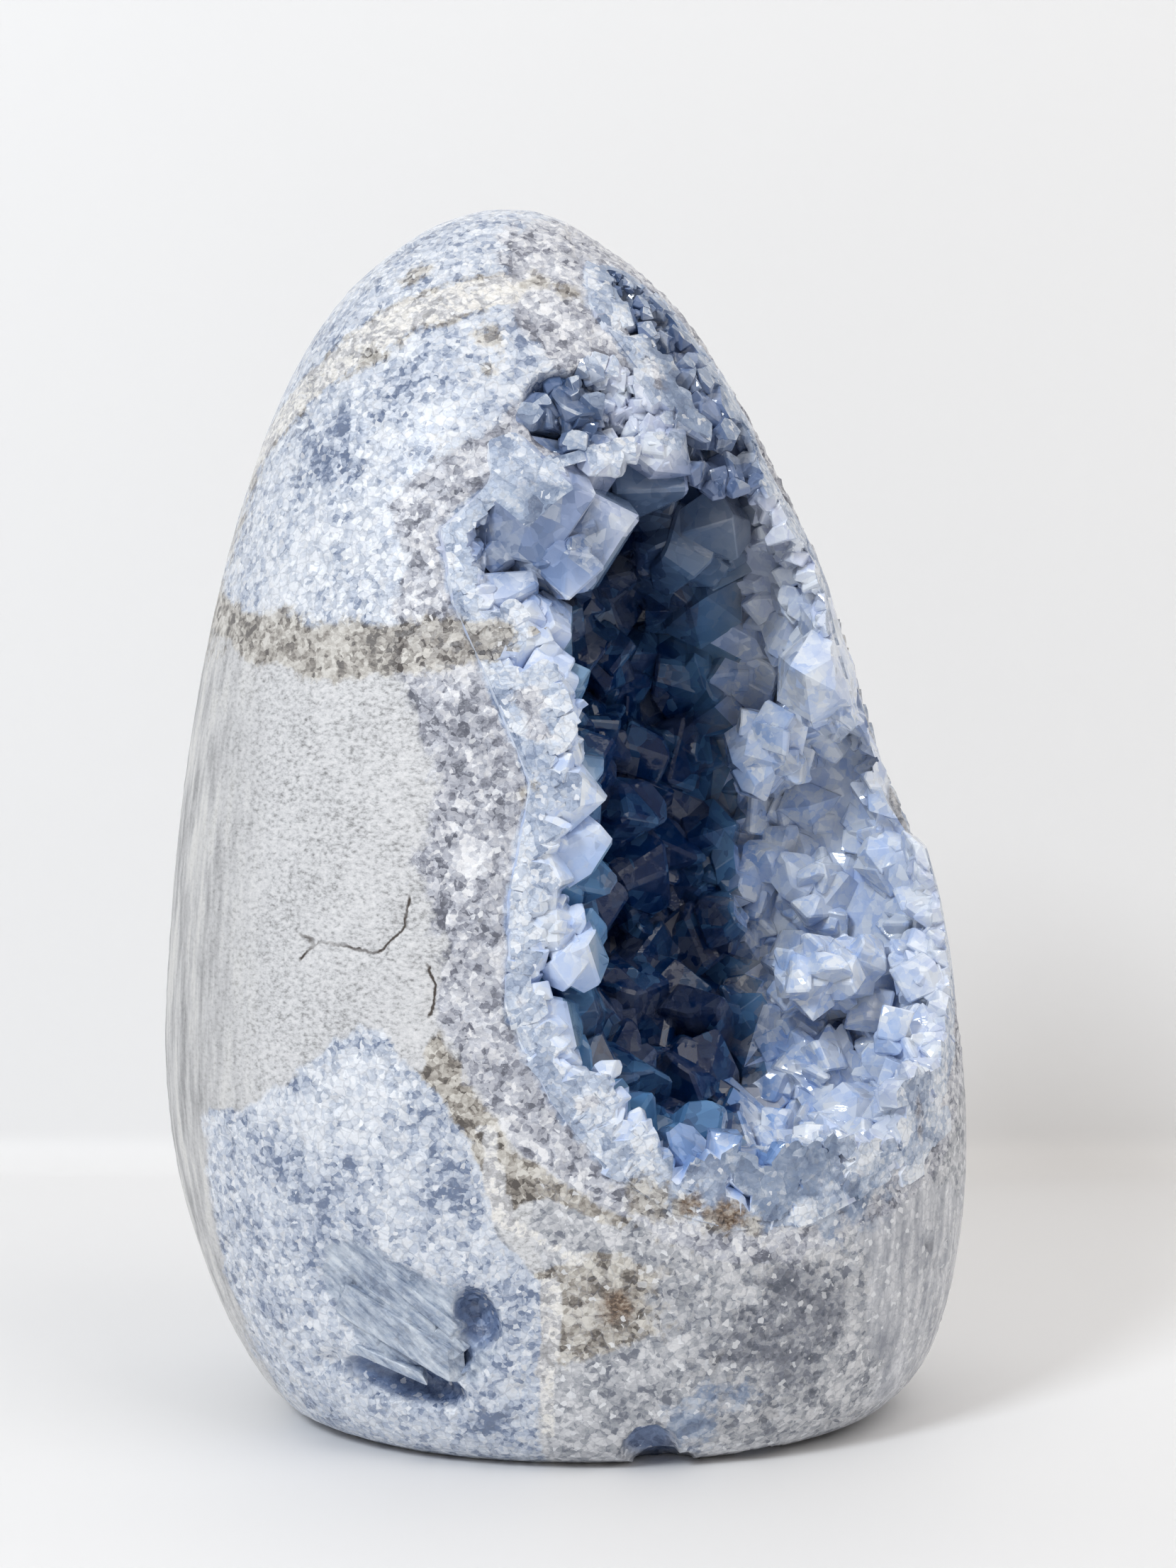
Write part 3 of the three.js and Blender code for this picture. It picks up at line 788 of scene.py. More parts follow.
def stone_material(settings):
    """Matrix, massive crystal, the granular rim, the cream band and rust, under one polish, with painted
    sparkles on the crystal and painted shade where the surface lies below the polish.
    """
    shader = Shader("polished_stone")
    ragged = shader.shaken(1100, 0.75 * MM)
    small = shader.cells(1500, ragged).outputs["Color"]
    middling = shader.cells(760, ragged).outputs["Color"]
    seams = shader.cells(760, ragged, feature="DISTANCE_TO_EDGE").outputs["Distance"]
    large = shader.cells(330, shader.shaken(700, 0.8 * MM)).outputs["Color"]
    small_value, painted_sparkle_pick = shader.channel(small, "Red"), shader.channel(small, "Green")
    middling_value = shader.channel(middling, "Red")
    large_value = shader.channel(large, "Green")
    patches = shader.spread(shader.noise(120, 3, 0.6), 0.28, 0.72, -0.17, 0.17)
    fine = shader.noise(1.0, 4, 0.7, shader.stretched((1300, 1300, 2100)))
    fine_spread = shader.spread(fine, 0.3, 0.7, -0.12, 0.12)
    grain = shader.total(
        shader.times(small_value, 0.42),
        shader.times(middling_value, 0.4),
        shader.times(large_value, 0.18),
        patches,
        fine_spread,
    )

    matrix_value = shader.total(fine, shader.times(patches, 0.3))
    matrix = shader.ramp(matrix_value, STONE_TONES["matrix"])
    streaks = shader.noise(1.0, 3, 0.6, shader.stretched((420, 420, 60)))
    streaked = shader.ramp(streaks, STONE_TONES["streaked"])
    shaded_grain = shader.total(
        grain,
        shader.times(shader.share("shade"), -0.4),
        shader.times(shader.share("pale"), 0.28),
    )
    blue = shader.ramp(shaded_grain, STONE_TONES["blue"])
    kinds = ("speckled", "rim", "grey", "dark")
    speckled, rim, grey, dark = (shader.ramp(grain, STONE_TONES[kind]) for kind in kinds)
    cream, rust = (shader.ramp(fine, STONE_TONES[kind]) for kind in ("cream", "rust"))

    edge = shader.spread(shader.noise(520, 4, 0.65), 0.3, 0.7, -0.3, 0.3)

    def sharp(name):
        """A kind of stone's share, with its border broken up by grains."""
        return shader.spread(shader.total(shader.share(name), edge), 0.35, 0.65)

    across = shader.node("ShaderNodeSeparateXYZ", {"Vector": shader.place}).outputs["X"]
    left_side = shader.spread(across, -36 * MM, -47 * MM)
    matrix = shader.mix(shader.times(left_side, 0.75), matrix, streaked)
    colour = shader.mix(sharp("matrix"), grey, matrix)
    colour = shader.mix(sharp("speckled"), colour, speckled)
    colour = shader.mix(sharp("blue"), colour, blue)
    colour = shader.mix(sharp("grey"), colour, grey)
    columns = shader.noise(1.0, 3, 0.6, shader.stretched((520, 520, 110)))
    columnar = shader.ramp(columns, STONE_TONES["columnar"])
    colour = shader.mix(shader.times(sharp("columns"), 0.75), colour, columnar)
    colour = shader.mix(sharp("dark"), colour, dark)
    colour = shader.mix(sharp("granular"), colour, rim)
    cream = shader.mix(shader.spread(grain, 0.62, 0.36, 0, 0.6), cream, rim)
    colour = shader.mix(sharp("cream"), colour, cream)
    glassy = sharp("glassy")
    cut_cells = shader.cells(300, shader.shaken(500, 1.2 * MM)).outputs["Color"]
    cut_value = shader.channel(cut_cells, "Blue")
    cut_value = shader.total(shader.times(cut_value, 0.4), shader.times(grain, 0.6))
    cut_crystal = shader.ramp(cut_value, STONE_TONES["cut_crystal"])
    colour = shader.mix(glassy, colour, cut_crystal)
    off_matrix = shader.spread(shader.share("matrix"), 0.6, 0.2, 0, 0.24)
    seam = shader.times(shader.spread(seams, 0.09, 0.02), off_matrix)
    colour = shader.mix(seam, colour, tone(112, 118, 136))
    clear_value = shader.total(
        shader.times(cut_value, 0.5),
        shader.times(large_value, 0.3),
        shader.spread(shader.noise(240, 4, 0.6), 0.3, 0.7, 0, 0.3),
    )
    clear = shader.ramp(clear_value, STONE_TONES["clear"])
    colour = shader.mix(shader.times(sharp("clear"), 0.9), colour, clear)
    colour = shader.mix(shader.times(sharp("speckle"), 0.88), colour, speckled)
    turned = shader.node("ShaderNodeMapping", {"Vector": shader.place, "Rotation": (0, FAN_TURN, 0)})
    along_fan = shader.stretched((170, 950, 950), turned.outputs["Vector"])
    feathers = shader.ramp(shader.noise(1.0, 4, 0.65, along_fan), STONE_TONES["feathers"])
    colour = shader.mix(shader.times(sharp("fan"), 0.8), colour, feathers)
    rusty = shader.spread(shader.total(shader.share("rust"), edge), 0.35, 0.9)
    colour = shader.mix(rusty, colour, rust)
    jitter = shader.spread(shader.noise(500, 3, 0.6), 0.3, 0.7, -0.3, 0.3)
    crack_offset = shader.maths("ABSOLUTE", shader.total(shader.share("crack_side"), jitter))
    crack_reach = shader.spread(shader.share("crack_distance"), 0.9, 0.5)
    crack_core = shader.spread(crack_offset, 0.26, 0.1)
    colour = shader.mix(shader.times(crack_core, crack_reach), colour, tone(58, 48, 42))
    # Painted shade: places below the polished outline, in recesses and holes, are painted a darker blue the
    # deeper they lie.
    sunk_shade = shader.spread(shader.share("sunk_shade"), 0.6, 2.2)
    colour = shader.mix(sunk_shade, colour, shader.mix(grain, tone(52, 70, 106), tone(136, 156, 192)))

    # Painted highlight: a few small grains are painted near white as sparkles of light, but not on the dull
    # matrix or the blades.
    dull = shader.total(shader.share("matrix"), shader.share("fan"))
    painted_sparkle = shader.times(shader.spread(painted_sparkle_pick, 0.93, 0.97), shader.spread(dull, 0.6, 0.2))
    colour = shader.mix(shader.times(painted_sparkle, 0.6), colour, tone(246, 248, 252))
    crystalline = shader.maths("MAXIMUM", sharp("granular"), sharp("grey"))
    crystalline = shader.maths("MAXIMUM", sharp("blue"), crystalline)
    facing = shader.leaning(small, shader.spread(crystalline, 0, 1, 0.1, 0.55))
    height = shader.total(fine, shader.times(grain, shader.spread(crystalline, 0, 1, 0.1, 0.8)))
    normal = shader.bump(height, settings.bump, 0.3 * MM, facing)
    roughness = shader.spread(crystalline, 0, 1, settings.matrix_roughness, settings.crystal_roughness)
    shader.set(Base_Color=colour, Roughness=roughness, Normal=normal)
    shader.set(IOR=1.6, Coat_Weight=0.16, Coat_Roughness=0.2)
    return shader.material


def crystal_material(settings, name, transmission, specular, lean):
    """Celestite: clear where it is deep in the hollow, frosted at the rim and on the right wall."""
    shader = Shader(name)
    crystal_tone = shader.channel(shader.cells(230).outputs["Color"], "Red")
    grain = shader.cells(700, shader.shaken(900, 1.0 * MM)).outputs["Color"]
    grain_tone = shader.channel(grain, "Red")
    veils = shader.noise(330, 4, 0.7)
    flaws = shader.cells(520, shader.shaken(420, 1.6 * MM)).outputs["Color"]
    flaw_tone = shader.channel(flaws, "Green")
    # The depth share picks darker tones towards the hollow's depth and its left side: partly the crystals'
    # own deeper blue, partly painted shade.
    depth = shader.total(
        shader.share("depth"),
        shader.spread(crystal_tone, 0, 1, -0.12, 0.12),
        shader.spread(flaw_tone, 0, 1, -0.1, 0.1),
    )
    colour = shader.ramp(depth, CRYSTAL_TONES[name])
    violet = shader.ramp(depth, CRYSTAL_TONES["violet"])
    colour = shader.mix(shader.times(shader.share("violet"), 0.6), colour, violet)
    whiteness = shader.total(shader.share("white"), shader.spread(crystal_tone, 0, 1, -0.3, 0.3))
    cloudy = shader.total(
        shader.spread(veils, 0.3, 0.62, 0.2, 0.8),
        shader.spread(grain_tone, 0, 1, -0.4, 0.45),
        shader.spread(flaw_tone, 0.2, 0.9, -0.25, 0.4),
    )
    whiteness = shader.times(shader.spread(whiteness, 0.1, 0.9), shader.spread(cloudy, 0, 1))
    colour = shader.mix(whiteness, colour, tone(*CRYSTAL_WHITES[name]))
    # Painted reflection: the picked faces of deeper crystals are painted a warm grey, as if they mirrored the
    # room.
    painted_glint = shader.times(shader.share("painted_glint"), shader.spread(shader.share("depth"), 0.3, 0.6, 0, 0.5))
    colour = shader.mix(painted_glint, colour, tone(178, 174, 174))
    growth = shader.noise(1.0, 2, 0.5, shader.stretched((500, 500, 3400)))
    facing = shader.leaning(shader.mix(0.5, flaws, grain), lean)
    normal = shader.bump(shader.total(shader.times(growth, 0.4), veils), 0.2, 0.2 * MM, facing)
    roughness = shader.spread(shader.noise(150, 3, 0.6), 0.35, 0.75, 0.03, 0.22)
    shader.set(
        Base_Color=colour,
        Roughness=roughness,
        Normal=normal,
        IOR=settings.ior,
        Specular_IOR_Level=specular,
        Transmission_Weight=transmission,
    )
    inputs = {"Color": (*settings.absorption, 1), "Density": settings.density}
    soak = shader.node("ShaderNodeVolumeAbsorption", inputs)
    shader.tree.links.new(soak.outputs["Volume"], shader.output.inputs["Volume"])
    return shader.material


def size_setting(name, description, default):
    """A setting that is a length, in metres."""
    return FloatProperty(name=name, description=description, default=default, unit="LENGTH")


def share_setting(name, description, default):
    """A setting from 0 to 1."""
    return FloatProperty(name=name, description=description, default=default, min=0, max=1)


class StoneSettings(bpy.types.PropertyGroup):
    """Sizes and finish of the polished stone."""

    voxel: size_setting("Grid", "Size of the surface's faces", 0.86 * MM)
    root_growth: size_setting("Root growth", "How far the hollow's wall reaches into the crystals", 1.9 * MM)
    snap: size_setting("Polish depth", "How far off the outline the skin is still polished", 0.7 * MM)
    recess_depth: size_setting("Recess depth", "Of the stone below the crystals in its recesses", 0.5 * MM)
    bump: share_setting("Grain relief", "Strength of the fine grain", 0.35)
    matrix_roughness: share_setting("Matrix roughness", "Of the pale matrix", 0.5)
    crystal_roughness: share_setting("Crystal roughness", "Of the massive crystal", 0.24)


class CrystalSettings(bpy.types.PropertyGroup):
    """Number, sizes and clearness of the crystals."""

    stand_proud: size_setting("Stand proud", "Of the polished outline", 0.08 * MM)
    seed: IntProperty(name="Seed", description="Another seed grows another crust", default=4)
    count: IntProperty(name="Crystals", description="That grow between the large ones", default=1500)
    deep_size: size_setting("Deep size", "Across, deep inside", 8.2 * MM)
    wall_size: size_setting("Wall size", "Across, on the right wall", 4.6 * MM)
    rim_size: size_setting("Rim size", "Across, at the rim", 2.5 * MM)
    # Painted reflection: the share of the faces that are painted a warm grey as glints.
    painted_glints: share_setting("Glints", "Share of the faces that catch the light", 0.03)
    ior: FloatProperty(name="IOR", description="Index of refraction", default=1.62, min=1, max=3)
    transmission: share_setting("Transmission", "Of the clear crystals", 0.5)
    frosted_transmission: share_setting("Frosted transmission", "Of the milky crystals", 0.1)
    absorption: FloatVectorProperty(
        name="Absorption",
        description="Colour of the light that gets through",
        subtype="COLOR",
        default=(0.35, 0.58, 0.9),
        min=0,
        max=1,
    )
    density: FloatProperty(name="Absorption density", description="Per metre", default=25.0, min=0)


class BladeSettings(bpy.types.PropertyGroup):
    """Thickness and breaks of the blades in the pocket."""

    seed: IntProperty(name="Seed", description="Another seed breaks the blades elsewhere", default=7)
    thickness: size_setting("Thickness", "Into the stone", 2.4 * MM)
    stand_proud: size_setting("Stand proud", "Of the polished outline", 0.05 * MM)


class StageSettings(bpy.types.PropertyGroup):
    """The camera, the floor and the light."""

    camera_distance: size_setting("Camera distance", "In front of the base's middle", 0.4)
    camera_height: size_setting("Camera height", "Above the floor", 0.107)
    camera_aside: size_setting("Camera aside", "To the right of the base's middle", 3.2 * MM)
    camera_pitch: FloatProperty(
        name="Camera pitch", description="Downwards", default=math.radians(3.34), unit="ROTATION"
    )
    focal_length: FloatProperty(
        name="Focal length", description="In millimetres, on a 36 mm sensor", default=68.43
    )
    wall_distance: size_setting("Wall distance", "Behind the stone", 0.165)
    floor_colour: FloatVectorProperty(
        name="Floor",
        description="Colour of the floor and backdrop",
        subtype="COLOR",
        default=(0.85, 0.85, 0.855),
        min=0,
        max=1,
    )
    key_power: FloatProperty(name="Key light", description="In watts", default=7.0)
    overhead_power: FloatProperty(name="Overhead light", description="In watts", default=3.4)
    fill_power: FloatProperty(name="Fill light", description="In watts", default=3.6)
    world_strength: FloatProperty(
        name="Room light", description="Strength of the light from all round", default=0.32
    )


def polished_form(growth):
    """The whole smooth outline as a solid, grown by a little all round."""
    deselect_all()
    bpy.ops.mesh.primitive_uv_sphere_add(segments=160, ring_count=120, radius=1, location=(0, 0, 0))
    form = bpy.context.object
    form.name = "polished_form"
    unit = get_places(form)
    share = np.arccos(np.clip(-unit[:, 2], -1, 1)) / np.pi
    height = np.interp(share, (0, 0.04, 0.96, 1), (0, 0, 1, 1)) * REACHES[-1, 0]
    turn = np.arctan2(unit[:, 1], unit[:, 0])
    left, right, front, back = reaches_at(height)
    shrink = np.minimum(share / 0.04, 1) * np.minimum((1 - share) / 0.04, 1)
    power = 2 / SQUARENESS
    across = np.sign(np.cos(turn)) * np.abs(np.cos(turn)) ** power * ((right - left) / 2 + growth)
    deep = np.sign(np.sin(turn)) * np.abs(np.sin(turn)) ** power * ((back - front) / 2 + growth)
    middle = np.stack(((left + right) / 2, (front + back) / 2, height), 1)
    places = middle + np.stack((across * shrink, deep * shrink, np.zeros(len(unit))), 1)
    set_places(form, places - skin(places)[1] * chips(places)[:, None])
    return form


def cut_to_outline(piece, growth):
    """Cuts off what stands out of the polished outline, grown by a little."""
    form = polished_form(growth)
    apply_modifier(piece, "BOOLEAN", operation="INTERSECT", object=form, solver="MANIFOLD")
    bpy.data.objects.remove(form)


def open_recesses(piece, growth):
    """Cuts the recesses into a piece, grown by a little all round."""
    cutters = []
    for middle, half_sizes, *_ in RECESSES:
        deselect_all()
        bpy.ops.mesh.primitive_ico_sphere_add(subdivisions=3, radius=1, location=(0, 0, 0))
        cutter = bpy.context.object
        cutter.scale = [half_size * MM + growth for half_size in half_sizes]
        cutter.location = [value * MM for value in middle]
        bpy.ops.object.transform_apply(location=True, rotation=False, scale=True)
        cutters.append(cutter)
    combine(piece, "DIFFERENCE", cutters)


class FREEFORM_OT_polished_body(bpy.types.Operator):
    """Build the polished stone from its CAD solid"""

    bl_idname = "freeform.polished_body"
    bl_label = "Polished Body"

    def execute(self, context):
        settings = context.scene.freeform_stone
        body = copied_node("polished_stone", "polished_body")
        apply_modifier(body, "REMESH", mode="VOXEL", voxel_size=settings.voxel)
        self.grow_under_crystals(body, settings.root_growth)
        open_recesses(body, settings.recess_depth)
        apply_modifier(body, "REMESH", mode="VOXEL", voxel_size=settings.voxel)
        places = get_places(body)
        depth, outward = skin(places)
        lowest, highest = SKIN_HEIGHTS
        on_skin = (np.abs(depth) < settings.snap) & (places[:, 2] > lowest) & (places[:, 2] < highest)
        # Painted shade: how far each place lies below the polished outline, which the material paints a
        # darker blue.
        sunk_shade = np.where(on_skin, 0, depth) / MM
        places[on_skin] += outward[on_skin] * depth[on_skin, None]
        to_crystals = distance_to_node("crystal_crust", places)
        kinds = stone_kinds(places, to_crystals)
        places -= outward * (self.relief(places, kinds, to_crystals) * on_skin)[:, None]
        places[:, 2] = np.maximum(places[:, 2], 0)
        set_places(body, places)
        x, _, z = places.T / MM
        # Painted shade: less of it at the right above the lip, and more in the holes round the blades.
        sunk_shade *= 1 - 0.8 * rise(x, 36, 6) * rise(z, 50, 10)
        kinds["sunk_shade"] = sunk_shade + pocket_holes(places)
        kinds["glassy"] = 0.6 * (1 - rise(to_crystals, 0.8 * MM, 1.6 * MM))
        store_shares(body, kinds)
        body.data.materials.clear()
        body.data.materials.append(stone_material(settings))
        activate(body)
        bpy.ops.object.shade_smooth()
        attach(body, "root")
        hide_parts("polished_stone")
        return {"FINISHED"}

    def grow_under_crystals(self, body, growth):
        """Moves the hollow's wall into the roots of the crystals, so that no gap shows between them."""
        places = get_places(body)
        nearest = nearest_on_node("crystal_crust", places)
        way = nearest - places
        distance = np.linalg.norm(way, axis=1)
        share = 1 - rise(distance, 1.1 * MM, 0.9 * MM)
        places += way / np.maximum(distance, 1e-6)[:, None] * (share * growth)[:, None]
        set_places(body, places)

    def relief(self, places, kinds, to_crystals):
        """How deep the skin is worn at each place, in metres: grains, pits, cracks and broken edges."""
        small, gap, numbers = facets(places, 2.1 * MM, 11)
        large, _, large_numbers = facets(places, 5 * MM, 13)
        crystalline = np.maximum(kinds["blue"], kinds["grey"])
        broken = kinds["granular"]
        near_rim = np.clip(1 - to_crystals / (7 * MM), 0, 1)
        grainy = crystalline * (0.05 + 0.05 * small) + broken * (0.16 + 0.16 * small)
        grainy += near_rim * 0.15 * (1 + small)
        lumps = 0.08 + 0.05 * cloud(places, 2.2 * MM, 21) + 0.05 * cloud(places, 1.2 * MM, 22)
        lumpy = kinds["matrix"] * lumps
        pits = (numbers[:, 1] < 0.025) * crystalline * rise(gap, 0.12, 0.2) * 0.7
        hollows = (large_numbers[:, 2] < 0.05) * np.maximum(crystalline, broken) * 0.25 * (1 + large)
        pocket = np.maximum(kinds["fan"] * 0.8, pocket_holes(places))
        cracked = 0.6 * np.exp(-((kinds["crack_distance"] / 0.6) ** 2))
        return (grainy + lumpy + pits + hollows + pocket + cracked) * MM + chips(places)


def share_out(places, middle, half_sizes, margin, stretch=1):
    """How far out of a region each place is: 1 at its edge, moved out by a stretch and then a margin."""
    reach = stretch * np.array(half_sizes) + margin
    return np.linalg.norm((places / MM - np.array(middle)) / reach, axis=1)


def lining_zones(places):
    """How deep, how frosted and how white the crystals are at each place: three shares of about 0 to 1. The
    depth share, which the material paints darker, also holds painted shade on the hollow's left side and in
    clear recesses and clusters.
    """
    below = skin(places)[0] / MM
    wander = 2.5 * cloud(places, 7 * MM, 41) + cloud(places, 3 * MM, 42)
    x, _, z = places.T / MM
    # Painted shade, partly the crystals' own deeper blue: the depth share grows the further a place lies
    # below the outline, and more on the hollow's left side, where the key light's shadow falls.
    left_side = 1 - rise(x, np.interp(z, (40, 120), (27, 16)) + wander, 16)
    depth = np.clip(below / 52 + 0.58 * left_side * rise(below, 4, 7), 0, 1)
    right_wall = rise(x, np.interp(z, (35, 60, 100, 125), (22, 23, 22, 25)) + wander, 7)
    near_skin = 1 - rise(below, 3.5 + 0.5 * wander, 4)
    frost = np.maximum(near_skin, right_wall * (1 - rise(below, 27 + wander, 10)))
    white = 1 - rise(below, 2.2 + 0.6 * wander + 2.5 * right_wall, 4)
    white = np.maximum(white, 0.95 * right_wall * (1 - rise(below, 26, 16)))
    for middle, half_sizes, _, _, _, whiteness in CLUSTERS + RECESSES:
        near = 1 - rise(share_out(places, middle, half_sizes, 1, 1.2), 1, 0.4)
        white += near * (whiteness - white)
        frost += near * (rise(whiteness, 0.1, 0.08) - frost)
        # Painted shade: near the clear crystals of a recess or a cluster the depth share is raised, so they
        # are painted as dark as deep ones.
        depth += near * np.maximum(1.15 * (1 - whiteness) ** 1.5 - depth, 0)
    return np.clip(depth, 0, 1), frost, white


class FREEFORM_OT_crystal_lining(bpy.types.Operator):
    """Grow the crystals that line the hollow"""

    bl_idname = "freeform.crystal_lining"
    bl_label = "Crystal Lining"

    def execute(self, context):
        settings = context.scene.freeform_crystals
        lining = copied_node("crystal_crust", "crystal_lining")
        open_recesses(lining, 0)
        forms = [self.form(cuts) for cuts in CRYSTAL_FORMS]
        draws = [np.random.RandomState(settings.seed + step) for step in range(4)]
        seeds = self.scatter(lining, settings, draws[0])
        seeds += self.cluster(draws[1]) + self.line_recesses(draws[2])
        for place, way, across in SINGLE_CRYSTALS:
            seeds.append(self.seed_at(np.array(place) * MM, way, across * MM, draws[3], 0.05))
        crystals = []
        for number, (place, turn, size) in enumerate(seeds):
            mesh = forms[number % len(forms)].copy()
            mesh.transform(Matrix.LocRotScale(place, turn, size))
            crystals.append(bpy.data.objects.new("crystal", mesh))
        combine(lining, "UNION", crystals)
        cut_to_outline(lining, settings.stand_proud)
        self.drop_loose_crystals(lining)
        self.finish(lining, settings)
        return {"FINISHED"}

    def form(self, cuts):
        """One crystal, about 1 across: a cube from just below the origin up, cut by planes."""
        deselect_all()
        bpy.ops.mesh.primitive_cube_add(size=1, location=(0, 0, 0.3))
        crystal = bpy.context.object
        bpy.ops.object.mode_set(mode="EDIT")
        for place, normal in cuts:
            bpy.ops.mesh.select_all(action="SELECT")
            bpy.ops.mesh.bisect(plane_co=place, plane_no=normal, use_fill=True, clear_outer=True)
        bpy.ops.mesh.select_all(action="SELECT")
        bpy.ops.mesh.remove_doubles(threshold=1e-4)
        bpy.ops.mesh.bevel(offset=0.05, segments=1, affect="EDGES", clamp_overlap=True)
        bpy.ops.mesh.select_all(action="SELECT")
        bpy.ops.mesh.normals_make_consistent(inside=False)
        bpy.ops.object.mode_set(mode="OBJECT")
        mesh = crystal.data.copy()
        mesh.transform(crystal.matrix_world)
        bpy.data.objects.remove(crystal)
        return mesh

    def seed_at(self, place, outwards, size, random, spread=0.55, roll=math.pi):
        """The place, turn and size of one crystal that points more or less outwards."""
        lean = Vector(np.array(outwards) + spread * random.uniform(-1, 1, 3))
        turn = lean.to_track_quat("Z", "Y") @ Quaternion((0, 0, 1), random.uniform(-roll, roll))
        size *= random.uniform(0.75, 1.25)
        scale = Vector((size, size * random.uniform(0.6, 0.95), size * random.uniform(0.8, 1.25)))
        return Vector(place), turn, scale

    def scatter(self, lining, settings, random):
        """Crystals all over the crust's inner faces and its polished edge."""
        mesh = lining.data
        mesh.calc_loop_triangles()
        corners = get_places(lining)
        triangles = np.array([t.vertices for t in mesh.loop_triangles])
        a, b, c = corners[triangles[:, 0]], corners[triangles[:, 1]], corners[triangles[:, 2]]
        cross = np.cross(b - a, c - a)
        area = np.linalg.norm(cross, axis=1) / 2
        normal = cross / (2 * area[:, None] + 1e-12)
        middle = (a + b + c) / 3
        depth, frost, _ = lining_zones(middle)
        skin_depth, outward = skin(middle)
        to_stone = nearest_on_node("polished_stone", middle) - middle
        polished = skin_depth < EDGE_DEPTH
        growth = settings.deep_size - settings.wall_size
        size = settings.wall_size + growth * (1 - frost) * rise(depth, 0.35, 0.3)
        size += (settings.rim_size - size) * (1 - rise(skin_depth, 4 * MM, 5 * MM))
        weight = area * (np.linalg.norm(to_stone, axis=1) > BACK_DISTANCE) / size**1.7
        for place, radius in BARE_CRYSTALS:
            away = np.linalg.norm(middle / MM - np.array(place), axis=1)
            weight *= rise(away, radius, 1)
        for place, half_sizes, *_ in RECESSES:
            weight *= share_out(middle, place, half_sizes, 1.5) > 1
        weight[polished] *= 2.5
        chosen = random.choice(len(triangles), settings.count, p=weight / weight.sum())
        seeds = []
        for index in chosen:
            u, v = random.rand(2)
            if u + v > 1:
                u, v = 1 - u, 1 - v
            place = a[index] + u * (b[index] - a[index]) + v * (c[index] - a[index])
            way, across, roll = normal[index], size[index], math.pi
            if polished[index]:
                across = random.uniform(settings.rim_size, settings.rim_size * 1.5)
                way = -to_stone[index] + outward[index] * (to_stone[index] @ outward[index])
                way = way / np.linalg.norm(way) - 0.25 * outward[index]
                place = place - outward[index] * across * random.uniform(0.1, 0.5)
            elif frost[index] > 0.5:
                place = place - 0.38 * across * way
                roll = 0.6
            seeds.append(self.seed_at(place, way, across, random, 0.55 - 0.3 * frost[index], roll))
        return seeds

    def cluster(self, random):
        """Crystals rooted in the crust that crowd beside the roof, along the lip and at the right edge."""
        seeds = []
        for middle, half_sizes, count, smallest, largest, _ in CLUSTERS:
            places = (np.array(middle) + random.uniform(-1, 1, (count, 3)) * np.array(half_sizes)) * MM
            outward = skin(places)[1]
            gaps = distance_to_node("crystal_crust", places)
            for place, way, gap in zip(places, outward, gaps):
                across = random.uniform(smallest, largest) * MM
                if gap < 0.7 * across:
                    seeds.append(self.seed_at(place, way, across, random))
        return seeds

    def drop_loose_crystals(self, lining):
        """Deletes what isn't joined to the back of the crust, because it would hang in the air."""
        activate(lining)
        for part in (lining.data.polygons, lining.data.edges, lining.data.vertices):
            part.foreach_set("select", np.zeros(len(part), bool))
        lining.data.vertices[int(get_places(lining)[:, 1].argmax())].select = True
        bpy.ops.object.mode_set(mode="EDIT")
        bpy.ops.mesh.select_linked()
        bpy.ops.mesh.select_all(action="INVERT")
        bpy.ops.mesh.delete(type="VERT")
        bpy.ops.object.mode_set(mode="OBJECT")

    def line_recesses(self, random):
        """Crystals all over the floors of the recesses."""
        seeds = []
        for middle, half_sizes, count, smallest, largest, _ in RECESSES:
            outward = skin(np.array([middle]) * MM)[1][0]
            ways = random.normal(size=(12 * count, 3))
            ways /= np.linalg.norm(ways, axis=1)[:, None]
            for way in ways[ways @ outward < -0.15][:count]:
                place = (np.array(middle) + way * np.array(half_sizes)) * MM
                seeds.append(self.seed_at(place, -way, random.uniform(smallest, largest) * MM, random))
        return seeds

    def clearness(self, places):
        """1 where the crystals of a recess or a cluster are clear, 0 where they are white or elsewhere."""
        share = np.zeros(len(places))
        for middle, half_sizes, _, _, _, whiteness in CLUSTERS + RECESSES:
            near = 1 - rise(share_out(places, middle, half_sizes, 1), 1.1, 0.4)
            share = np.maximum(share, near * (1 - whiteness))
        return share

    def finish(self, lining, settings):
        """Keeps how deep and how white each place is, and gives each face one of the three materials."""
        places = get_places(lining)
        depth, frost, white = lining_zones(places)
        x, _, z = places.T / MM
        below = skin(places)[0]
        edge = rise(x, 32, 8) * (1 - rise(below / MM, 3, 4))
        violet = np.maximum(rise(z, 108, 24), 0.7 * edge)
        store_shares(lining, {"depth": depth, "white": white, "violet": violet})
        flush = np.abs(below - chips(places)) < FLUSH_DEPTH
        at_hollow = ~flush
        kinds = []
        for face in lining.data.polygons:
            corners = list(face.vertices)
            if flush[corners].all():
                kinds.append(2)
            else:
                at_hollow[corners] = True
                kinds.append(int(frost[corners].mean() > 0.5))
        to_hollow = distance_to_places(places[at_hollow], places) / MM
        stone_shares = stone_kinds(places, np.zeros(len(places)))
        stone_shares["sunk_shade"] = np.zeros(len(places))
        stone_shares["glassy"] = 1 - rise(to_hollow, 2.4 + 1.6 * cloud(places, 4 * MM, 51), 2)
        stone_shares["clear"] = np.maximum(stone_shares["clear"], self.clearness(places))
        store_shares(lining, stone_shares)
        mesh = lining.data
        random = np.random.RandomState(settings.seed)
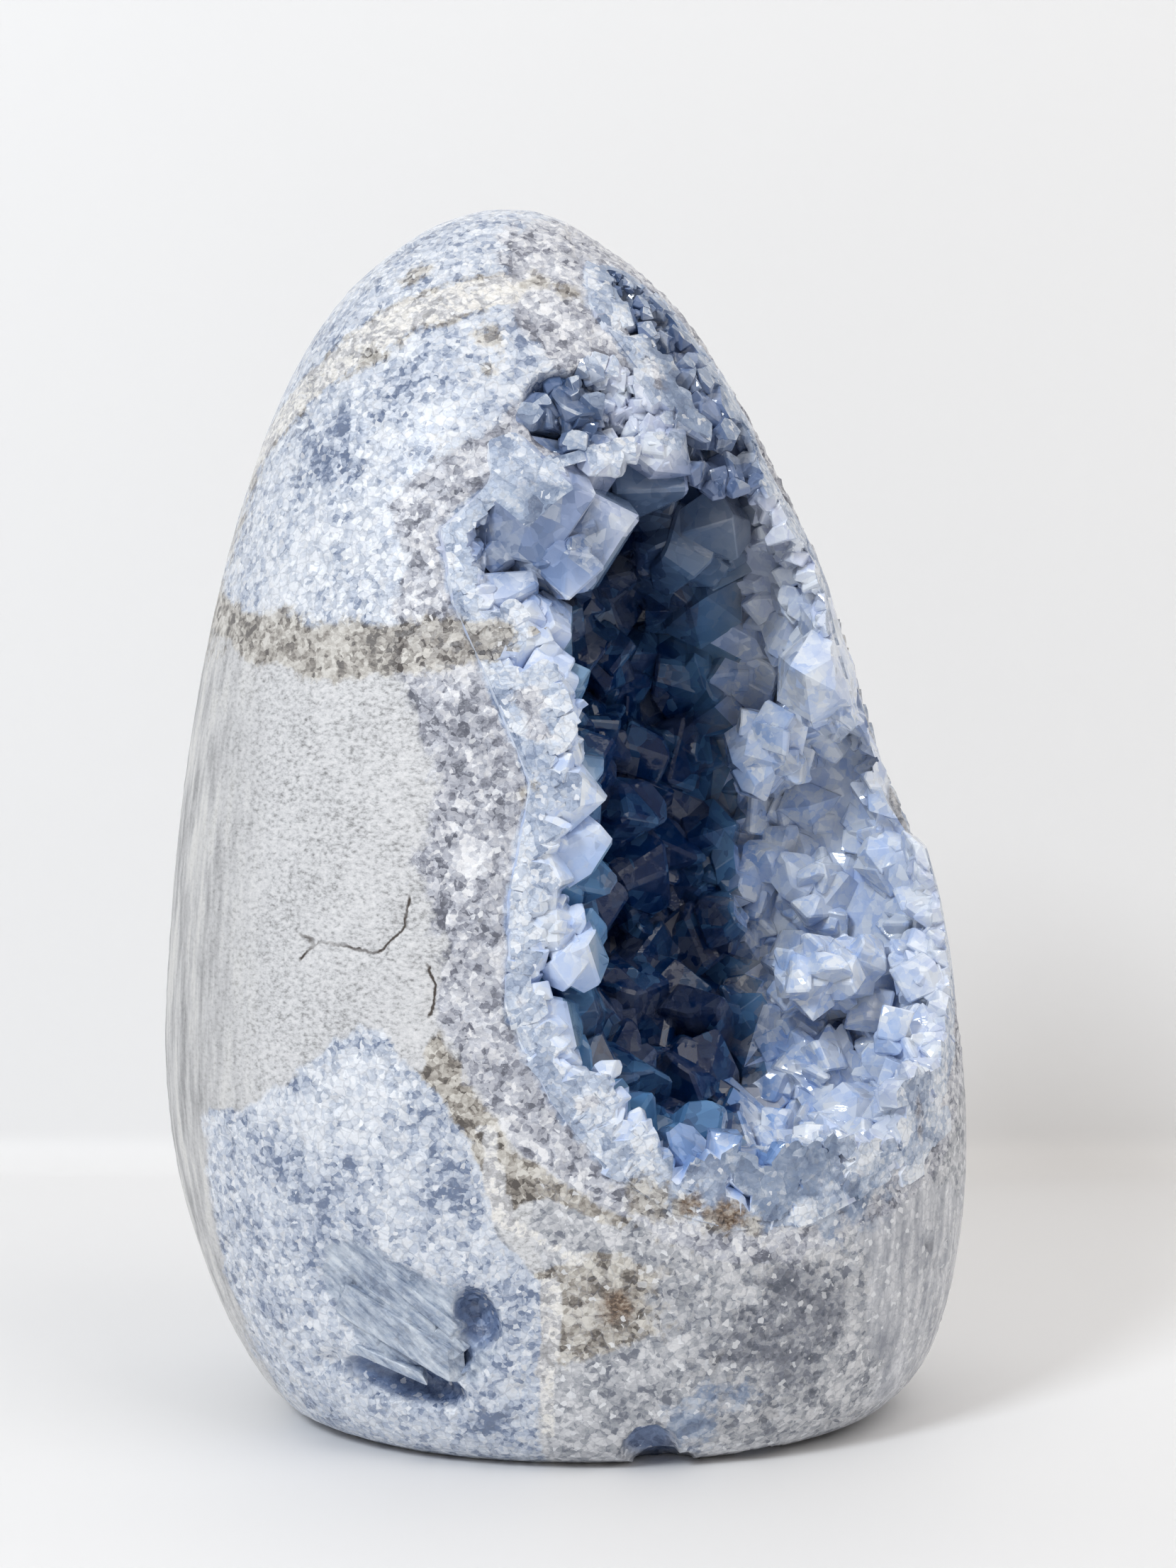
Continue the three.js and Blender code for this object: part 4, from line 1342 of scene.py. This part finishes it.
        # Painted reflection: a few large faces that point one way are picked to be painted as glints.
        normals = np.array([face.normal for face in mesh.polygons])
        areas = np.array([face.area for face in mesh.polygons])
        painted_glint_faces = (normals @ np.array(PAINTED_GLINT_WAY) > 0.75) & (areas > PAINTED_GLINT_AREA)
        painted_glint_faces &= random.rand(len(normals)) < settings.painted_glints
        painted_glint = mesh.attributes.new("painted_glint", "FLOAT", "FACE")
        painted_glint.data.foreach_set("value", painted_glint_faces.astype(np.float32))
        mesh.materials.clear()
        mesh.materials.append(crystal_material(settings, "clear_crystal", settings.transmission, 0.2, 0.2))
        frosted = crystal_material(settings, "frosted_crystal", settings.frosted_transmission, 0.5, 0.5)
        mesh.materials.append(frosted)
        mesh.materials.append(bpy.data.materials["polished_stone"])
        mesh.polygons.foreach_set("material_index", np.array(kinds, np.int32))
        activate(lining)
        bpy.ops.object.shade_flat()
        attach(lining, "root")
        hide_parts("crystal_crust")


class FREEFORM_OT_pocket_blades(bpy.types.Operator):
    """Fan blades of crystal out in the pocket at the lower left"""

    bl_idname = "freeform.pocket_blades"
    bl_label = "Pocket Blades"

    def execute(self, context):
        settings = context.scene.freeform_blades
        random = np.random.RandomState(settings.seed)
        deselect_all()
        for place, length, width, turn, sink in BLADES:
            place = np.array(place) * MM
            depth, outward = (values[0] for values in skin(place[None]))
            place = place + outward * (depth - sink * MM - settings.thickness / 2)
            along = np.array(FAN_WAY) - outward * (outward @ np.array(FAN_WAY))
            along /= np.linalg.norm(along)
            aside = np.cross(outward, along)
            way = along * math.cos(math.radians(turn)) + aside * math.sin(math.radians(turn))
            facing = Matrix((way, np.cross(outward, way), outward)).transposed().to_quaternion()
            bpy.ops.mesh.primitive_cube_add(size=1, location=(0, 0, 0))
            blade = bpy.context.object
            blade.name = "blade"
            corners = get_places(blade)
            corners[:, 0] += np.sign(corners[:, 0]) * random.uniform(-0.2, 0.04, 8)
            corners[:, 1] *= random.uniform(0.65, 1, 8)
            set_places(blade, corners)
            size = Vector((length * MM, width * MM, settings.thickness))
            blade.data.transform(Matrix.LocRotScale(Vector(place), facing, size))
            apply_modifier(blade, "BEVEL", width=0.15 * MM, segments=1)
        self.join(settings)
        return {"FINISHED"}

    def join(self, settings):
        """Merges the blades into one piece, polished with the stone, and finishes it."""
        piece, *others = [found for found in bpy.context.scene.objects if found.name.startswith("blade")]
        combine(piece, "UNION", others)
        cut_to_outline(piece, settings.stand_proud)
        piece.name = piece.data.name = "pocket_blades"
        places = get_places(piece)
        shares = stone_kinds(places, np.ones(len(places)))
        shares["fan"] = np.ones(len(places))
        store_shares(piece, shares)
        piece.data.materials.clear()
        piece.data.materials.append(bpy.data.materials["polished_stone"])
        activate(piece)
        bpy.ops.object.shade_flat()
        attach(piece, "root")


class FREEFORM_OT_stage(bpy.types.Operator):
    """Set the floor, the light and the camera"""

    bl_idname = "freeform.stage"
    bl_label = "Stage"

    def execute(self, context):
        settings = context.scene.freeform_stage
        self.floor(settings)
        self.light("key_light", (-0.53, -0.8, 0.79), 0.25, settings.key_power, (0.88, 0.94, 1.0))
        self.light("overhead_light", (-0.1, -0.42, 1.3), 1.5, settings.overhead_power, (1.0, 0.95, 0.9))
        self.light("fill_light", (0.6, -0.5, 0.9), 0.8, settings.fill_power, (1.0, 0.97, 0.93))
        self.room(context, settings)
        self.camera(context, settings)
        context.scene.view_settings.view_transform = "Standard"
        return {"FINISHED"}

    def floor(self, settings):
        """A plain floor that turns up into a wall close behind the stone."""
        deselect_all()
        bpy.ops.mesh.primitive_plane_add(size=1, location=(0, 0, 0))
        floor = bpy.context.object
        floor.name = "floor"
        floor.scale = (6, 3, 1)
        floor.location = (0, settings.wall_distance - 1.5, 0)
        bpy.ops.object.transform_apply(location=True, rotation=False, scale=True)
        back = max(v.co.y for v in floor.data.vertices)
        for edge in floor.data.edges:
            edge.select = all(floor.data.vertices[i].co.y > back - MM for i in edge.vertices)
        for vertex in floor.data.vertices:
            vertex.select = vertex.co.y > back - MM
        for face in floor.data.polygons:
            face.select = False
        bpy.ops.object.mode_set(mode="EDIT")
        bpy.ops.mesh.extrude_region_move(TRANSFORM_OT_translate={"value": (0, 0, 2.4)})
        bpy.ops.object.mode_set(mode="OBJECT")
        apply_modifier(floor, "BEVEL", width=8 * MM, segments=8, limit_method="ANGLE")
        bpy.ops.object.shade_smooth()
        shader = Shader("pale_floor")
        uneven = shader.spread(shader.noise(9, 4, 0.5), 0.3, 0.8, 0.0, 0.12)
        colour = shader.mix(uneven, tuple(settings.floor_colour), (0.78, 0.785, 0.8))
        shader.set(Base_Color=colour, Roughness=0.55)
        floor.data.materials.append(shader.material)

    def light(self, name, place, size, power, colour, aim=(0.0, 0.0, 0.08)):
        """A soft square light that faces a point."""
        lamp = bpy.data.lights.new(name, "AREA")
        lamp.size = size
        lamp.energy = power
        lamp.color = colour
        holder = bpy.data.objects.new(name, lamp)
        holder.location = place
        holder.rotation_euler = (Vector(aim) - Vector(place)).to_track_quat("-Z", "Y").to_euler()
        bpy.context.scene.collection.objects.link(holder)

    def room(self, context, settings):
        """Even light from all round."""
        world = bpy.data.worlds.new("pale_room")
        context.scene.world = world
        world.use_nodes = True
        background = world.node_tree.nodes["Background"]
        background.inputs["Color"].default_value = (1.0, 0.945, 0.885, 1)
        background.inputs["Strength"].default_value = settings.world_strength

    def camera(self, context, settings):
        """The camera, in front of the stone and a little above its middle."""
        view = bpy.data.cameras.new("camera")
        view.lens = settings.focal_length
        holder = bpy.data.objects.new("camera", view)
        holder.location = (settings.camera_aside, -settings.camera_distance, settings.camera_height)
        holder.rotation_euler = (math.pi / 2 - settings.camera_pitch, 0, 0)
        context.scene.collection.objects.link(holder)
        context.scene.camera = holder


class FREEFORM_PT_panel(bpy.types.Panel):
    """Lists the freeform's pieces and their settings"""

    bl_idname = "FREEFORM_PT_panel"
    bl_label = "Celestite Freeform"
    bl_space_type = "VIEW_3D"
    bl_region_type = "UI"
    bl_category = "Freeform"

    def draw(self, context):
        scene = context.scene
        for operator, group in PANEL_ROWS:
            box = self.layout.box()
            box.operator(operator)
            settings = getattr(scene, group)
            for name in settings.__annotations__:
                box.prop(settings, name)


PANEL_ROWS = (
    ("freeform.polished_body", "freeform_stone"),
    ("freeform.crystal_lining", "freeform_crystals"),
    ("freeform.pocket_blades", "freeform_blades"),
    ("freeform.stage", "freeform_stage"),
)
CLASSES = (
    StoneSettings,
    CrystalSettings,
    BladeSettings,
    StageSettings,
    FREEFORM_OT_polished_body,
    FREEFORM_OT_crystal_lining,
    FREEFORM_OT_pocket_blades,
    FREEFORM_OT_stage,
    FREEFORM_PT_panel,
)


def register():
    for cls in CLASSES:
        bpy.utils.register_class(cls)
    bpy.types.Scene.freeform_stone = PointerProperty(type=StoneSettings)
    bpy.types.Scene.freeform_crystals = PointerProperty(type=CrystalSettings)
    bpy.types.Scene.freeform_blades = PointerProperty(type=BladeSettings)
    bpy.types.Scene.freeform_stage = PointerProperty(type=StageSettings)


def unregister():
    del bpy.types.Scene.freeform_stage
    del bpy.types.Scene.freeform_blades
    del bpy.types.Scene.freeform_crystals
    del bpy.types.Scene.freeform_stone
    for cls in reversed(CLASSES):
        bpy.utils.unregister_class(cls)


def main():
    """Builds every piece and the stage."""
    register()
    bpy.ops.freeform.stage()
    bpy.ops.freeform.polished_body()
    bpy.ops.freeform.crystal_lining()
    bpy.ops.freeform.pocket_blades()


if __name__ == "__main__":
    main()
